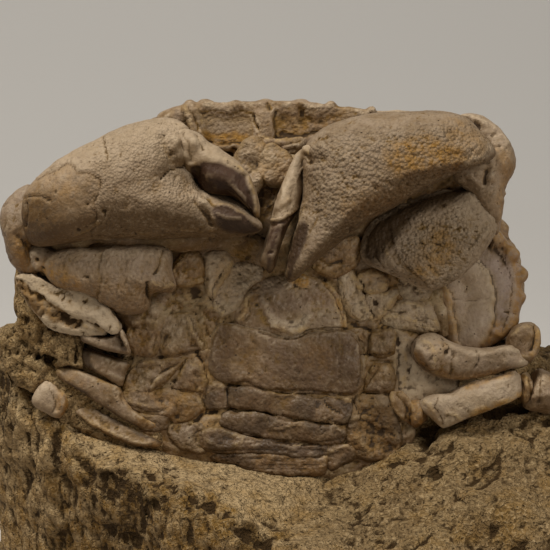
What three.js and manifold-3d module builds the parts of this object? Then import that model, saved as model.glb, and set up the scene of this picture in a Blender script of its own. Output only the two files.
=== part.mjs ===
// Fossil crab lying belly outwards on a loose block of limestone.
//
// The crab is drawn in its own frame: X to the right, Z up the body from the tail to the front edge
// of the shell, and Y into the body, so that the belly looks along -Y. The whole crab then leans
// back and sits in the block, whose flat underside is the plane z = 0. All sizes are millimetres.

import * as THREE from 'three';
import { mergeVertices } from 'three/addons/utils/BufferGeometryUtils.js';
import Module from 'manifold-3d';

const wasm = await Module();
wasm.setup();

// ---------------------------------------------------------------- driving dimensions

const LEAN_BACK = THREE.MathUtils.degToRad(14);   // the belly looks up by this much
const BELLY_HEIGHT = 79;                          // height of the crab frame's origin over the base
const CLEARANCE = 0.4;                            // a neighbour is cut back by this much all round
const SHELL_DEPTH = 34;                           // from the shell's edge to the top of its back
const PALM_EDGE = -12;                            // depth of the edge of a claw's palm
const PALM_FRONT = 13;                            // how far a palm swells out of its edge
const PALM_BACK = 11;                             // how far it swells back from its edge
const BODY_FACE = -1.5;                           // depth of the body's face, on which the plates lie
const PLATE_SWELL = 4;                            // how far a small plate stands out of its edge
const PLATE_ROOT = 1.8;                           // how far it reaches back from its edge
const SEAT_GAP = 0.3;                             // between a small plate and the face it lies on
const PLATE_EDGE = BODY_FACE - PLATE_ROOT - SEAT_GAP;
const SLAB_HALF = 2.2;                            // half the thickness of the body's face slab
const LIMB_BLUNTNESS = 4;                         // 2 is an ellipse's end, more is blunter

// ---------------------------------------------------------------- finishes

const finish = (color, roughness) => new THREE.MeshStandardMaterial({ color, roughness, metalness: 0 });
const FINISHES = {
  rock: finish(0x6e5939, 0.95),
  crust: finish(0x7a6646, 0.95),
  shell: finish(0x77644e, 0.7),
  palm: finish(0x8c7c68, 0.65),
  finger: finish(0x5a4636, 0.5),
  plate: finish(0x6b563a, 0.7),
  tail: finish(0x6f5c46, 0.7),
};

// ---------------------------------------------------------------- shapes

/** Moves every vertex of a geometry and leaves only its positions, with shared vertices merged. */
function reshape(geometry, move) {
  const position = geometry.getAttribute('position');
  const vertex = new THREE.Vector3();
  for (let i = 0; i < position.count; i += 1) {
    vertex.fromBufferAttribute(position, i);
    move(vertex);
    position.setXYZ(i, vertex.x, vertex.y, vertex.z);
  }
  geometry.deleteAttribute('normal');
  geometry.deleteAttribute('uv');
  return mergeVertices(geometry, 1e-3);
}

/** The closed solid that a merged geometry bounds. */
function toSolid(geometry) {
  const vertProperties = new Float32Array(geometry.getAttribute('position').array);
  const triVerts = new Uint32Array(geometry.index.array);
  return new wasm.Manifold(new wasm.Mesh({ numProp: 3, vertProperties, triVerts }));
}

/** The geometry of a solid's surface. */
function toGeometry(solid) {
  const mesh = solid.getMesh();
  const geometry = new THREE.BufferGeometry();
  geometry.setAttribute('position', new THREE.BufferAttribute(mesh.vertProperties, mesh.numProp));
  geometry.setIndex(new THREE.BufferAttribute(mesh.triVerts, 1));
  return geometry;
}

/** The value at a fraction t of the way along an evenly spaced list. */
function valueAlong(values, t) {
  const place = t * (values.length - 1);
  const first = Math.min(Math.floor(place), values.length - 2);
  return THREE.MathUtils.lerp(values[first], values[first + 1], place - first);
}

/**
 * A smooth closed curve through a list of flat points, with its centre. The arm in a direction runs
 * from the centre to the curve, and the direction (1, 0) belongs to the first point of the list.
 */
function ring(outline) {
  const points = outline.map(([first, second]) => new THREE.Vector2(first, second));
  if (!THREE.ShapeUtils.isClockWise(points)) points.reverse();
  const curve = new THREE.CatmullRomCurve3(
    points.map((point) => new THREE.Vector3(point.x, point.y, 0)), true, 'catmullrom', 0.5,
  );
  const centre = points.reduce((sum, point) => sum.add(point), new THREE.Vector2());
  centre.divideScalar(points.length);
  const arm = (first, second) => {
    const turn = (Math.atan2(second, first) / (2 * Math.PI) + 1) % 1;
    const point = curve.getPointAt(turn);
    return new THREE.Vector2(point.x, point.y).sub(centre);
  };
  return { centre, arm };
}

/**
 * A domed plate of shell. Its edge is a smooth closed curve through the outline's (x, z) points, at
 * depth `edge`. It swells `front` millimetres towards the belly and `back` millimetres behind the
 * edge, and leans by `lean` millimetres of depth for each millimetre of height.
 */
function plate({
  outline, edge = PLATE_EDGE, front = PLATE_SWELL, back = PLATE_ROOT, lean = 0, fullness = 2.5,
  around = 9, rings = 4,
}) {
  const rim = ring(outline);
  return (grow) => toSolid(reshape(new THREE.SphereGeometry(1, around, rings), (vertex) => {
    const spread = Math.min(1, Math.hypot(vertex.x, vertex.z)) ** (2 / fullness);
    const swell = Math.abs(vertex.y) ** (2 / fullness);
    const depth = vertex.y > 0 ? (back + grow) * swell : -(front + grow) * swell;
    const arm = rim.arm(-vertex.x, vertex.z);
    arm.setLength((arm.length() + grow) * spread);
    vertex.set(rim.centre.x + arm.x, edge + depth + lean * arm.y, rim.centre.y + arm.y);
  }));
}

/**
 * A leg, a finger or another long piece: an oval section swept along a smooth route, with rounded
 * ends. `widths` are across the route in the plane of the belly, and `depths` along Y.
 */
function limb({ route, widths, depths, around = 8, along = 7 }) {
  const curve = new THREE.CatmullRomCurve3(route.map((point) => new THREE.Vector3(...point)));
  const intoBody = new THREE.Vector3(0, 1, 0);
  return (grow) => toSolid(reshape(new THREE.SphereGeometry(1, around, along), (vertex) => {
    const t = Math.acos(THREE.MathUtils.clamp(vertex.y, -1, 1)) / Math.PI;
    const tangent = curve.getTangentAt(t);
    const across = new THREE.Vector3().crossVectors(tangent, intoBody).normalize();
    const outwards = new THREE.Vector3().crossVectors(tangent, across);
    const roundness = Math.max(0, 1 - Math.abs(2 * t - 1) ** LIMB_BLUNTNESS) ** (1 / LIMB_BLUNTNESS);
    const radius = Math.hypot(vertex.x, vertex.z) || 1;
    const sideways = (valueAlong(widths, t) / 2 + grow) * roundness * (vertex.x / radius);
    const deep = (valueAlong(depths, t) / 2 + grow) * roundness * (vertex.z / radius);
    vertex.copy(curve.getPointAt(t)).addScaledVector(tangent, grow * (2 * t - 1));
    vertex.addScaledVector(across, sideways).addScaledVector(outwards, deep);
  }));
}

/** Two shapes grown together. */
const joined = (first, second) => (grow) => first(grow).add(second(grow));

// ---------------------------------------------------------------- claws

const leftPalm = joined(
  plate({
    outline: [
      [-18.5, 28], [-19.5, 24.5], [-18, 20], [-15, 17], [-12.5, 15], [-12, 12], [-13, 9.5], [-23, 8.5],
      [-39, 8], [-48, 7], [-54, 7], [-56, 10], [-56.5, 15], [-55, 19.5], [-51, 23.5], [-46, 27],
      [-38.5, 31], [-30.5, 34], [-24.5, 35], [-21, 34], [-19, 31],
    ],
    edge: PALM_EDGE, front: PALM_FRONT, back: PALM_BACK, around: 22, rings: 7,
  }),
  limb({
    route: [[-19, -12, 14], [-13.5, -14, 13.5], [-8, -17, 12], [-2.5, -19, 10]],
    widths: [10, 9.5, 7, 2.5], depths: [14, 12, 9, 4],
  }),
);

const leftFinger = limb({
  route: [[-18, -13, 26.5], [-13.5, -17, 24.5], [-8.5, -19, 21], [-5, -20, 16], [-4, -20, 12]],
  widths: [10, 10.5, 9.5, 6.5, 3], depths: [13, 12, 11, 8, 4], along: 9,
});

const leftWrist = plate({
  outline: [
    [-54, 13.5], [-54.5, 5.5], [-54, 0.5], [-57.5, 1], [-60, 4.5], [-61.5, 10], [-61.5, 14], [-60, 17.5],
    [-57, 19.5], [-55, 19.5],
  ],
  edge: -6, front: 8, back: 8, around: 14, rings: 6,
});

const leftArm = plate({
  outline: [
    [-23.5, 1], [-23, -3.5], [-28, -4], [-29, -7.5], [-34, -8.5], [-38.5, -6.5], [-43, -4], [-48.5, -3],
    [-52, 0], [-53, 3], [-51.5, 5], [-45, 6.5], [-35, 7], [-24.5, 6.5],
  ],
  edge: -9, front: 8, back: 7, around: 18, rings: 5,
});

const rightPalm = joined(
  plate({
    outline: [
      [48.5, 26], [40.5, 23], [33.5, 19.5], [28, 16.5], [22.5, 13.5], [18, 10.5], [14.5, 8.5], [11, 11],
      [8.5, 15.5], [7, 20], [6.5, 24.5], [7, 28.5], [9.5, 31.5], [14, 34], [20, 35.5], [28, 36.5],
      [37, 36.5], [42, 35.5], [45.5, 32.5], [48.5, 29],
    ],
    edge: PALM_EDGE, front: PALM_FRONT, back: PALM_BACK, lean: 0.1, around: 22, rings: 7,
  }),
  limb({
    route: [[12, -12, 17], [9.5, -16, 12.5], [6.5, -19, 6.5], [2.5, -20, -2]],
    widths: [14, 11, 7.5, 2.5], depths: [14, 12, 9, 4],
  }),
);

const rightFinger = limb({
  route: [[7, -13, 26.5], [4, -17, 20], [2, -19, 13.5], [0.5, -20, 6.5], [-0.5, -19, 0]],
  widths: [6, 6.5, 6.5, 5.5, 2.5], depths: [12, 11, 10, 8, 4], along: 9,
});

const rightWrist = plate({
  outline: [
    [54.5, 24.5], [52.5, 19.5], [51.5, 14], [50.5, 9.5], [47.5, 12], [44.5, 18.5], [41, 21.5], [40, 26],
    [40.5, 33], [42.5, 36.5], [47, 36], [50.5, 33.5], [53.5, 29],
  ],
  edge: -6, front: 6, back: 6, around: 14, rings: 6,
});

const rightArm = plate({
  outline: [
    [50.5, 12], [48.5, 7.5], [45, 3.5], [41.5, 0], [37, -2.5], [34, -3], [28.5, -0.5], [24, 1],
    [20, 3.5], [20, 8], [24, 13.5], [33, 18], [43, 20.5], [47.5, 20.5], [50.5, 16.5],
  ],
  edge: -7, front: 6, back: 5, around: 16, rings: 6,
});

/** Pieces of the two claws, from the tips to the shoulder. */
const clawPieces = [
  ['right_claw_finger', rightFinger, 'finger'],
  ['right_claw_palm', rightPalm, 'palm'],
  ['left_claw_finger', leftFinger, 'finger'],
  ['left_claw_palm', leftPalm, 'palm'],
  ['left_claw_wrist', leftWrist, 'shell'],
  ['left_claw_arm', leftArm, 'shell'],
  ['right_claw_wrist', rightWrist, 'shell'],
  ['right_claw_arm', rightArm, 'shell'],
];

// ---------------------------------------------------------------- tail folded on the belly

const tailPieces = [
  ['telson', plate({
    outline: [
      [16, -12.5], [8.5, -13], [2.5, -14.5], [-3.5, -13], [-8, -12], [-9.5, -9.5], [-8, -6], [-5.5, -3],
      [-3, -1], [2, 0.5], [6.5, 0.5], [11, -1.5], [14.5, -4.5], [16, -9],
    ],
    front: 4.5, around: 16, rings: 5,
  }), 'tail'],
  ['abdomen_segment_6', plate({
    outline: [
      [20, -19.5], [19.5, -24.5], [17, -27], [10, -26.5], [1, -26], [-8, -25], [-12.5, -24], [-14.5, -21.5],
      [-15, -17.5], [-14, -13], [-11.5, -10.5], [-7, -11.5], [-3, -12], [2.5, -13.5], [8, -12.5],
      [16.5, -12], [19.5, -15],
    ],
    front: 4.5, around: 20, rings: 5, fullness: 3,
  }), 'tail'],
  ['abdomen_segment_5', plate({
    outline: [
      [18, -30], [17, -33], [14.5, -34], [8, -33], [1, -31.5], [-6, -30.5], [-10, -30.5], [-12, -27.5],
      [-10.5, -24.5], [-4.5, -24.5], [2.5, -26], [10, -26.5], [16.5, -27.5],
    ],
    around: 14, fullness: 3,
  }), 'tail'],
  ['abdomen_segment_4', plate({
    outline: [
      [16.5, -36.5], [14, -38.5], [5.5, -38], [-2.5, -37.5], [-9, -36], [-13.5, -33], [-11.5, -30],
      [-6.5, -30], [-0.5, -31], [7, -32.5], [12, -33], [15.5, -34],
    ],
    around: 14, fullness: 3,
  }), 'tail'],
  ['abdomen_segment_3', plate({
    outline: [
      [12, -40], [11, -42], [4.5, -41.5], [-4, -40.5], [-11.5, -40.5], [-16, -39.5], [-17, -37],
      [-15.5, -35], [-11, -34.5], [-6, -36], [2.5, -37], [12, -37.5],
    ],
    around: 14, fullness: 3,
  }), 'tail'],
  ['abdomen_segment_2', plate({
    outline: [
      [12, -44], [10.5, -46], [3.5, -46], [-4.5, -45], [-11, -43.5], [-15, -41], [-11, -39.5], [-4, -39.5],
      [4.5, -40], [12, -41],
    ],
    around: 14, fullness: 3,
  }), 'tail'],
  ['abdomen_segment_1', plate({
    outline: [[18, -39], [18.5, -41.5], [15.5, -43], [12.5, -45], [11, -43], [12, -39], [14.5, -38]],
  }), 'tail'],
];

// ---------------------------------------------------------------- legs

const legPieces = [
  ['left_leg_1_crust', plate({
    outline: [
      [-35, -12.5], [-36.5, -14], [-40, -13.5], [-43.5, -12], [-48, -10], [-52.5, -8.5], [-56, -6.5],
      [-58.5, -3], [-59.5, 0], [-56.5, 1.5], [-53, 0.5], [-49, -2], [-45, -2], [-41, -4], [-37.5, -7],
      [-35.5, -9.5],
    ],
    edge: -9, front: 4, back: 5, around: 18, rings: 5,
  }), 'crust'],
  ['left_leg_1', limb({
    route: [[-53, -8, -9], [-44, -9, -12.5], [-37, -10, -15.5], [-32, -10, -18]],
    widths: [6, 6.5, 6, 2.5], depths: [8, 8, 7, 3],
  }), 'shell'],
  ['left_leg_2', limb({
    route: [[-46, -6, -17], [-40, -6, -20], [-33.5, -6, -23]], widths: [6, 6.5, 6], depths: [7, 7, 7],
  }), 'shell'],
  ['left_leg_3', limb({
    route: [[-51, -5, -21], [-42, -5.5, -25], [-35, -5.5, -29], [-28, -5.5, -33.5]],
    widths: [4, 5, 6, 5], depths: [6, 7, 7, 7],
  }), 'shell'],
  ['left_leg_stub', limb({
    route: [[-55, -5, -27], [-51.5, -6, -28.5], [-48.5, -7, -30]], widths: [5, 5, 4.5], depths: [6, 7, 6],
  }), 'shell'],
  ['left_leg_4', limb({
    route: [[-52, -4, -24], [-43.5, -5, -29.5], [-35.5, -5.5, -34], [-24.5, -5, -38]],
    widths: [4, 5.5, 6, 5], depths: [5, 6, 7, 6],
  }), 'shell'],
  ['right_leg_1_arm', limb({
    route: [[33, -7, -17.5], [39.5, -7.5, -19], [46.5, -7.5, -20], [52, -7, -20], [57, -6, -20]],
    widths: [9, 9, 7, 5.5, 4], depths: [9, 10, 10, 9, 7], along: 8,
  }), 'shell'],
  ['right_leg_1_end', plate({
    outline: [
      [60.5, -14.5], [60, -17.5], [58, -20], [55.5, -20], [53.5, -18], [52.5, -15.5], [53.5, -13],
      [56, -11], [59, -11],
    ],
    edge: -4, front: 5, back: 5,
  }), 'plate'],
  ['right_leg_2_base', limb({
    route: [[28, -5.5, -27], [29, -6, -31], [33, -6, -33.5]], widths: [4, 6, 5], depths: [7, 8, 7],
  }), 'plate'],
  ['right_leg_2_joint', limb({
    route: [[56, -6, -22.5], [57, -7, -25.5], [56.5, -6, -29.5]], widths: [3.5, 4, 3], depths: [8, 9, 7],
  }), 'plate'],
  ['right_leg_2_arm', limb({
    route: [[35, -6.5, -31.5], [41.5, -7, -29.5], [48.5, -7, -27], [56, -6, -24.5]],
    widths: [7, 7.5, 7, 5.5], depths: [9, 10, 10, 8],
  }), 'shell'],
  ['right_leg_2_end', limb({
    route: [[58, -5, -25.5], [62, -4, -27], [68, -2, -29.5]], widths: [9.5, 9, 6.5], depths: [10, 10, 8],
  }), 'shell'],
];

// ---------------------------------------------------------------- leg bases and breast plates

/** The small plates of the belly: name, outline and, where it isn't usual, how far it stands out. */
const BELLY_PLATES = [
  ['left_mouthpart', [
    [-2, 29], [-3, 22], [-5.5, 18], [-7.5, 21.5], [-8.5, 26.5], [-6.5, 30], [-4, 31],
  ]],
  ['right_mouthpart', [
    [4, 25.5], [2, 21], [-1.5, 20.5], [-4, 23.5], [-4, 28], [-1, 29.5], [3, 28.5],
  ]],
  ['left_claw_base', [
    [-15, 1.5], [-16.5, -1.5], [-21, -2], [-24.5, -1], [-25, 3], [-23.5, 5.5], [-19, 6.5], [-16, 5],
  ], 5],
  ['left_claw_hip', [
    [-9.5, 2], [-12, -2.5], [-13.5, -7], [-15, -8], [-16.5, -5], [-16.5, 0], [-16, 4], [-12.5, 5],
  ], 4.5],
  ['left_breast_plate_1', [
    [-3, 0], [-6.5, -5.5], [-9, -8], [-11.5, -9], [-14, -6.5], [-12.5, -2], [-8.5, 1.5], [-5, 2],
  ]],
  ['left_breast_plate_2', [
    [-10, -10], [-12.5, -13], [-15, -15], [-16.5, -11.5], [-17, -8], [-14, -7],
  ]],
  ['left_leg_1_hip', [
    [-15.5, -5], [-17.5, -7.5], [-22.5, -9], [-28.5, -8], [-28.5, -4], [-22.5, -3], [-19.5, -2],
    [-16.5, -3],
  ], 5],
  ['left_leg_1_base', [
    [-26, -15], [-27, -18], [-30, -19], [-33.5, -17.5], [-34, -14.5], [-32.5, -12], [-28.5, -11.5],
  ], 4.5],
  ['left_leg_2_base', [
    [-24, -22.5], [-26, -25.5], [-29.5, -26.5], [-34, -25.5], [-34.5, -23.5], [-32.5, -20.5],
    [-28.5, -20], [-25, -20.5],
  ]],
  ['left_leg_3_base', [
    [-18.5, -28], [-21.5, -31.5], [-26, -33], [-31, -31.5], [-35, -30], [-35.5, -27], [-31, -25.5],
    [-25, -25], [-20.5, -25],
  ]],
  ['left_leg_4_base', [
    [-24, -33], [-26.5, -35.5], [-30, -35], [-32.5, -32.5], [-31.5, -31], [-27.5, -31], [-25, -31],
  ], 3.5],
  ['left_leg_4_hip', [
    [-15, -34], [-18, -38], [-22, -38], [-24.5, -36], [-25, -32], [-22.5, -29], [-19, -28.5],
    [-16, -31],
  ], 3.5],
  ['left_breast_plate_3', [
    [-14.5, -16.5], [-19.5, -18], [-23.5, -18.5], [-26.5, -16], [-26.5, -11.5], [-22.5, -9],
    [-19, -8], [-16.5, -11.5],
  ]],
  ['left_breast_plate_4', [
    [-15, -25], [-19.5, -26], [-24, -26], [-25.5, -22], [-22, -19.5], [-19, -18], [-17, -21],
  ]],
  ['left_breast_plate_5', [
    [-10, -28.5], [-12, -31], [-15.5, -31.5], [-17, -28.5], [-16, -25.5], [-13, -24], [-10.5, -26],
  ], 3.5],
  ['right_claw_base', [
    [20.5, 6.5], [18.5, 2.5], [15, 0], [10.5, 0.5], [8, 3], [10.5, 7], [15, 8.5], [18.5, 8.5],
  ], 5],
  ['right_claw_hip', [
    [26, -1.5], [23.5, -4], [20, -3.5], [18, -1.5], [20, 1], [23, 1],
  ], 5],
  ['right_breast_plate_1', [
    [22, -9.5], [20.5, -12], [18, -10.5], [16, -6.5], [15, -2.5], [17, -0.5], [19, -3.5], [21, -6.5],
  ], 4.5],
  ['right_breast_plate_2', [
    [26.5, -5.5], [25, -8.5], [22, -9.5], [19.5, -7], [19.5, -4], [23.5, -3],
  ], 4.5],
  ['right_leg_1_base', [
    [36, -9.5], [34, -12], [29.5, -11.5], [26.5, -10], [26.5, -6], [29, -4.5], [32, -5.5],
    [35, -6.5],
  ]],
  ['right_leg_1_hip', [
    [34, -3], [32.5, -5.5], [30, -4.5], [29, -2], [31, 0.5], [33.5, -0.5],
  ]],
  ['right_breast_plate_3', [
    [27, -15], [27, -18], [22.5, -18.5], [21.5, -15.5], [22.5, -12.5], [26, -12.5],
  ], 4.5],
  ['right_breast_plate_4', [
    [22.5, -23], [20.5, -27], [19, -23], [19.5, -17], [20, -13.5], [22.5, -13.5], [22.5, -18],
  ], 3.5],
  ['right_leg_2_hip', [
    [27, -25], [25, -27.5], [23.5, -26], [22.5, -23.5], [24, -21.5], [26, -22.5],
  ], 4.5],
  ['right_leg_3_base', [
    [28.5, -37.5], [26, -41.5], [22, -42], [18.5, -40], [17, -35.5], [18, -31], [20.5, -27],
    [25, -27], [27.5, -32],
  ]],
];

const bellyPieces = BELLY_PLATES.map(([name, outline, swell = PLATE_SWELL]) => (
  [name, plate({ outline, front: swell }), 'plate']
));

// ---------------------------------------------------------------- body

/** The underside between the claws, the legs and the tail, on which all the small plates lie. */
const underside = plate({
  outline: [
    [31, -17], [32, -30], [30, -42], [18.5, -46], [5.5, -48], [-5.5, -47.5], [-16, -44], [-24, -41.5],
    [-36, -34], [-38, -25], [-36, -17], [-33, -11], [-34, -2], [-48, 6], [-50, 16], [-46, 26], [-26, 34],
    [-2, 36.5], [20, 35], [38, 33], [46, 27], [48, 18], [42, 8], [36, -1], [37, -10],
  ],
  edge: BODY_FACE + SLAB_HALF, front: SLAB_HALF, back: 2, around: 28, fullness: 8,
});

const carapace = plate({
  outline: [
    [58.5, -3], [57, -11.5], [51.5, -22], [41.5, -32.5], [29, -40], [15, -44.5], [2.5, -45.5],
    [-11.5, -44], [-25.5, -38.5], [-38, -30], [-47.5, -18], [-53.5, -4], [-54, 8], [-50, 21], [-41, 31.5],
    [-29, 37], [-17.5, 40], [-1.5, 41], [14, 40], [29, 38.5], [41, 35.5], [49.5, 27], [53, 13], [57, 6],
  ],
  edge: 5, front: 2, back: SHELL_DEPTH, around: 28, rings: 9, fullness: 2.2,
});

/** The right flank of the shell bends round below the claw's arm and faces the belly side. */
const rightFlank = plate({
  outline: [
    [38, -2], [41, 3], [48, 7], [52, 11], [57, 5.5], [58.5, -3.5], [57, -11.5], [48, -16], [40, -16],
  ],
  edge: 3, front: 5, back: 4, around: 14, fullness: 4,
});

// ---------------------------------------------------------------- block of matrix

const BLOCK_PLAN = [
  [-66, 2], [-54, -13], [-42, -22], [-31, -29], [-16, -40], [0, -46], [22, -51], [45, -50], [62, -42],
  [70, -25], [72, 5], [69, 36], [56, 50], [25, 54], [-10, 53], [-42, 50], [-62, 38], [-68, 20],
];

/** Heights of the block's broken top, as (x, y, z) marks. */
const HEIGHT_MARKS = [
  [-64, 2, 64], [-53, -12, 48], [-46, -16, 44], [-41, -20, 39], [-31, -27, 39], [-22, -33, 37],
  [-15, -38, 35], [0, -44, 27], [22, -50, 22], [46, -48, 23], [66, -30, 30],
  [-40, -13, 44], [-24, -11, 41], [-14, -11, 38], [0, -12, 35], [12, -12, 35], [22, -11, 38],
  [31, -11, 41], [40, -13, 46], [54, -13, 49], [66, -10, 50], [15, -28, 31], [45, -30, 37], [-15, -25, 37],
  [60, -24, 40], [70, -18, 44], [30, -38, 30], [8, -36, 30],
  [-60, 20, 62], [-45, 10, 62], [45, 10, 60], [66, 12, 57], [-30, 12, 60], [0, 15, 60], [30, 12, 60],
  [-62, 40, 48], [-30, 45, 55], [5, 48, 56], [38, 46, 53], [62, 38, 47],
];
const MARK_SHARPNESS = 3.5;                        // how closely the top keeps to the nearest mark
const BLOCK_GRID = [17, 13, 1];                    // cells along X, Y and Z
const FOOT_TAPER = 0.05;                           // the block is this much narrower at its base

/** Height of the block's top at a place: a mean of the marks, weighted by nearness. */
function topHeight(x, y) {
  let weights = 0;
  let total = 0;
  for (const [markX, markY, height] of HEIGHT_MARKS) {
    const weight = 1 / (1 + Math.hypot(x - markX, y - markY)) ** MARK_SHARPNESS;
    weights += weight;
    total += weight * height;
  }
  return total / weights;
}

/** Matrix that fills the spaces between the legs, in the crab's frame. */
const MATRIX_FILLS = [
  plate({
    outline: [[-60, 0], [-58, -20], [-50, -30], [-30, -38], [-24, -20], [-26, 0], [-35, 6], [-52, 8]],
    edge: 2, front: 2 - BODY_FACE, back: 6, around: 14, fullness: 6,
  }),
  plate({
    outline: [[24, -14], [40, -14], [60, -18], [64, -28], [52, -38], [34, -42], [22, -36]],
    edge: 2, front: 2 - BODY_FACE, back: 6, around: 12, fullness: 6,
  }),
];

/** The block: a box of cells whose plan is drawn out to the block's plan and whose top is broken. */
function blockSolid() {
  const plan = ring(BLOCK_PLAN);
  return toSolid(reshape(new THREE.BoxGeometry(2, 2, 1, ...BLOCK_GRID), (vertex) => {
    const outwards = Math.max(Math.abs(vertex.x), Math.abs(vertex.y));
    const level = vertex.z + 0.5;
    const arm = plan.arm(-vertex.x, vertex.y).multiplyScalar(outwards * (1 - FOOT_TAPER * (1 - level)));
    const x = plan.centre.x + arm.x;
    const y = plan.centre.y + arm.y;
    vertex.set(x, y, level * topHeight(x, y));
  }));
}

// ---------------------------------------------------------------- assembly

/** Keeps the largest body of a solid that a cut has divided. */
function largestBody(solid) {
  return solid.decompose().reduce((best, part) => (part.volume() > best.volume() ? part : best));
}

function addMesh(group, name, solid, material) {
  const mesh = new THREE.Mesh(toGeometry(solid), FINISHES[material]);
  mesh.name = name;
  group.add(mesh);
}

const crab = new THREE.Group();
crab.rotation.x = -LEAN_BACK;
crab.position.z = BELLY_HEIGHT;
crab.updateMatrix();

/** All the pieces of the crab: each is cut back from the ones before it, which lie in front. */
const crabPieces = [
  ...clawPieces, ...legPieces, ...tailPieces, ...bellyPieces,
  ['underside', underside, 'plate'],
  ['carapace', joined(carapace, rightFlank), 'shell'],
];

/** A solid of the crab's frame, moved to where the crab lies in the block. */
const seated = (solid) => toSolid(toGeometry(solid).applyMatrix4(crab.matrix));

let block = MATRIX_FILLS.reduce((rock, fill) => rock.add(seated(fill(0))), blockSolid());
const cutters = [];
for (const [name, shape, material] of crabPieces) {
  const solid = cutters.reduce((rest, cutter) => rest.subtract(cutter), shape(0));
  addMesh(crab, name, largestBody(solid), material);
  const grown = shape(CLEARANCE);
  cutters.push(grown);
  block = block.subtract(seated(grown));
}

const fossil = new THREE.Group();
addMesh(fossil, 'matrix_block', largestBody(block), 'rock');
fossil.add(crab);

export default fossil;
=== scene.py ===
"""Fossil crab lying belly outwards on a loose block of limestone: the finish of every surface.

Everything is modelled in the crab's own frame in millimetres: X to the right, Z up the body and Y
into the body, so that the belly looks along -Y. The block's form comes from its CAD node, and it is
carved in the same frame. Every piece is a closed skin of even cells that is then carved: see Clay.
"""

import math

import bmesh
import bpy
import numpy as np
from bpy.props import FloatProperty, FloatVectorProperty, PointerProperty
from mathutils import Matrix, Vector


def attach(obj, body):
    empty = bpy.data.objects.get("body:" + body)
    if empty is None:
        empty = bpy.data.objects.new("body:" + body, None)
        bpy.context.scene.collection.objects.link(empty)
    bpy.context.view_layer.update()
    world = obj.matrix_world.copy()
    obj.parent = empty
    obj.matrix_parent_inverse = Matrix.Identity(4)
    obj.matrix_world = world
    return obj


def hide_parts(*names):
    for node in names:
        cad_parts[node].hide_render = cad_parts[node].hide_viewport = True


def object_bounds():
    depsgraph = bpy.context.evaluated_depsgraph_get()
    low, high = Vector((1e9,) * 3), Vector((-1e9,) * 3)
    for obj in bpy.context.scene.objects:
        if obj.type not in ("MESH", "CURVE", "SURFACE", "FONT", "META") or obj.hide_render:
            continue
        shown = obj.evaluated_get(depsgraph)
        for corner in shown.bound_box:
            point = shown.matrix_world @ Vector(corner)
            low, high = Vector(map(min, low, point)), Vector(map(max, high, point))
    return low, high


bl_info = {
    "name": "Fossil crab",
    "version": (1, 0, 0),
    "blender": (4, 5, 0),
    "location": "3D View > Sidebar > Fossil",
    "description": "Models and finishes a fossil crab on its block of matrix",
    "category": "Add Mesh",
}

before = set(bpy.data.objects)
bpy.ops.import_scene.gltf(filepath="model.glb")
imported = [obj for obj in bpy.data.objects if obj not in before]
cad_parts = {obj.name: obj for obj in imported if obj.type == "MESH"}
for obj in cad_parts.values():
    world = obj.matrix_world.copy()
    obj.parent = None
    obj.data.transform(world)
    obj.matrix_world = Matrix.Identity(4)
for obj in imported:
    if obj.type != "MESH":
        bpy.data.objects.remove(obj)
CAD_BOX = [[float(value) for value in corner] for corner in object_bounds()]
MM = 0.001

# ---------------------------------------------------------------- the crab's frame

# How far the crab leans back, how high the middle of its belly is, the depth at which the edges of
# the belly's plates lie, and the seed that gives the plates and the rock between them one relief.
LEAN_BACK = math.radians(14)
BELLY_HEIGHT = 79
CRAB_PLACE = Matrix.Translation((0, 0, BELLY_HEIGHT)) @ Matrix.Rotation(-LEAN_BACK, 4, "X")
PLATE_EDGE = -3.6
BELLY_SEED = 402

# The belly sketch that many outlines are drawn on: seen from EYE_DISTANCE away, with SKETCH_UNIT to a
# unit at depth 0, its middle at SKETCH_MIDDLE both ways and its second number running down. The belly
# plates and the lines over them lie at BELLY_DEPTH.
EYE_DISTANCE = 527
SKETCH_UNIT = 0.23
SKETCH_MIDDLE = 275
BELLY_DEPTH = -7

# Ridges higher and narrower than these are rubbed to ochre crests.
CREST_HEIGHT = 0.25
CREST_WIDTH = 0.6

# How many rounds of blur part relief from form, and the height that counts as full relief.
FINE_RELIEF = (3, 0.16)
BROAD_RELIEF = (24, 1.1)

# ---------------------------------------------------------------- noise


def lattice(cell, seed):
    """A fixed pseudo-random number from 0 to 1 for each whole-numbered place."""
    n = (cell[..., 0] * 374761393 + cell[..., 1] * 668265263 + cell[..., 2] * 1442695041 + seed * 974711)
    n = ((n ^ (n >> 13)) * 1274126177) & 0xFFFFFFFF
    n = ((n ^ (n >> 15)) * 2246822519) & 0xFFFFFFFF
    return ((n ^ (n >> 16)) & 0xFFFF) / 65535.0


# Noise is turned, so that its lattice lies along no surface.
TURN = np.array(Matrix.Rotation(0.7, 3, "X") @ Matrix.Rotation(0.5, 3, "Y") @ Matrix.Rotation(0.9, 3, "Z"))


def noise(places, size, seed=0):
    """Smooth noise from -1 to 1 with lumps about `size` across."""
    p = places @ TURN.T / size
    cell = np.floor(p).astype(np.int64)
    part = p - cell
    part = part * part * part * (part * (part * 6 - 15) + 10)
    total = 0.0
    for corner in np.ndindex(2, 2, 2):
        weight = np.prod(np.where(corner, part, 1 - part), axis=-1)
        total = total + weight * lattice(cell + np.array(corner), seed)
    return total * 2 - 1


def rough(places, size, octaves=4, gain=0.5, seed=0):
    """Noise summed over ever smaller lumps, from about -1 to 1."""
    total = 0.0
    share = 1.0
    for octave in range(octaves):
        total = total + share * noise(places, size / 2**octave, seed + octave * 17)
        share *= gain
    return total


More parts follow.
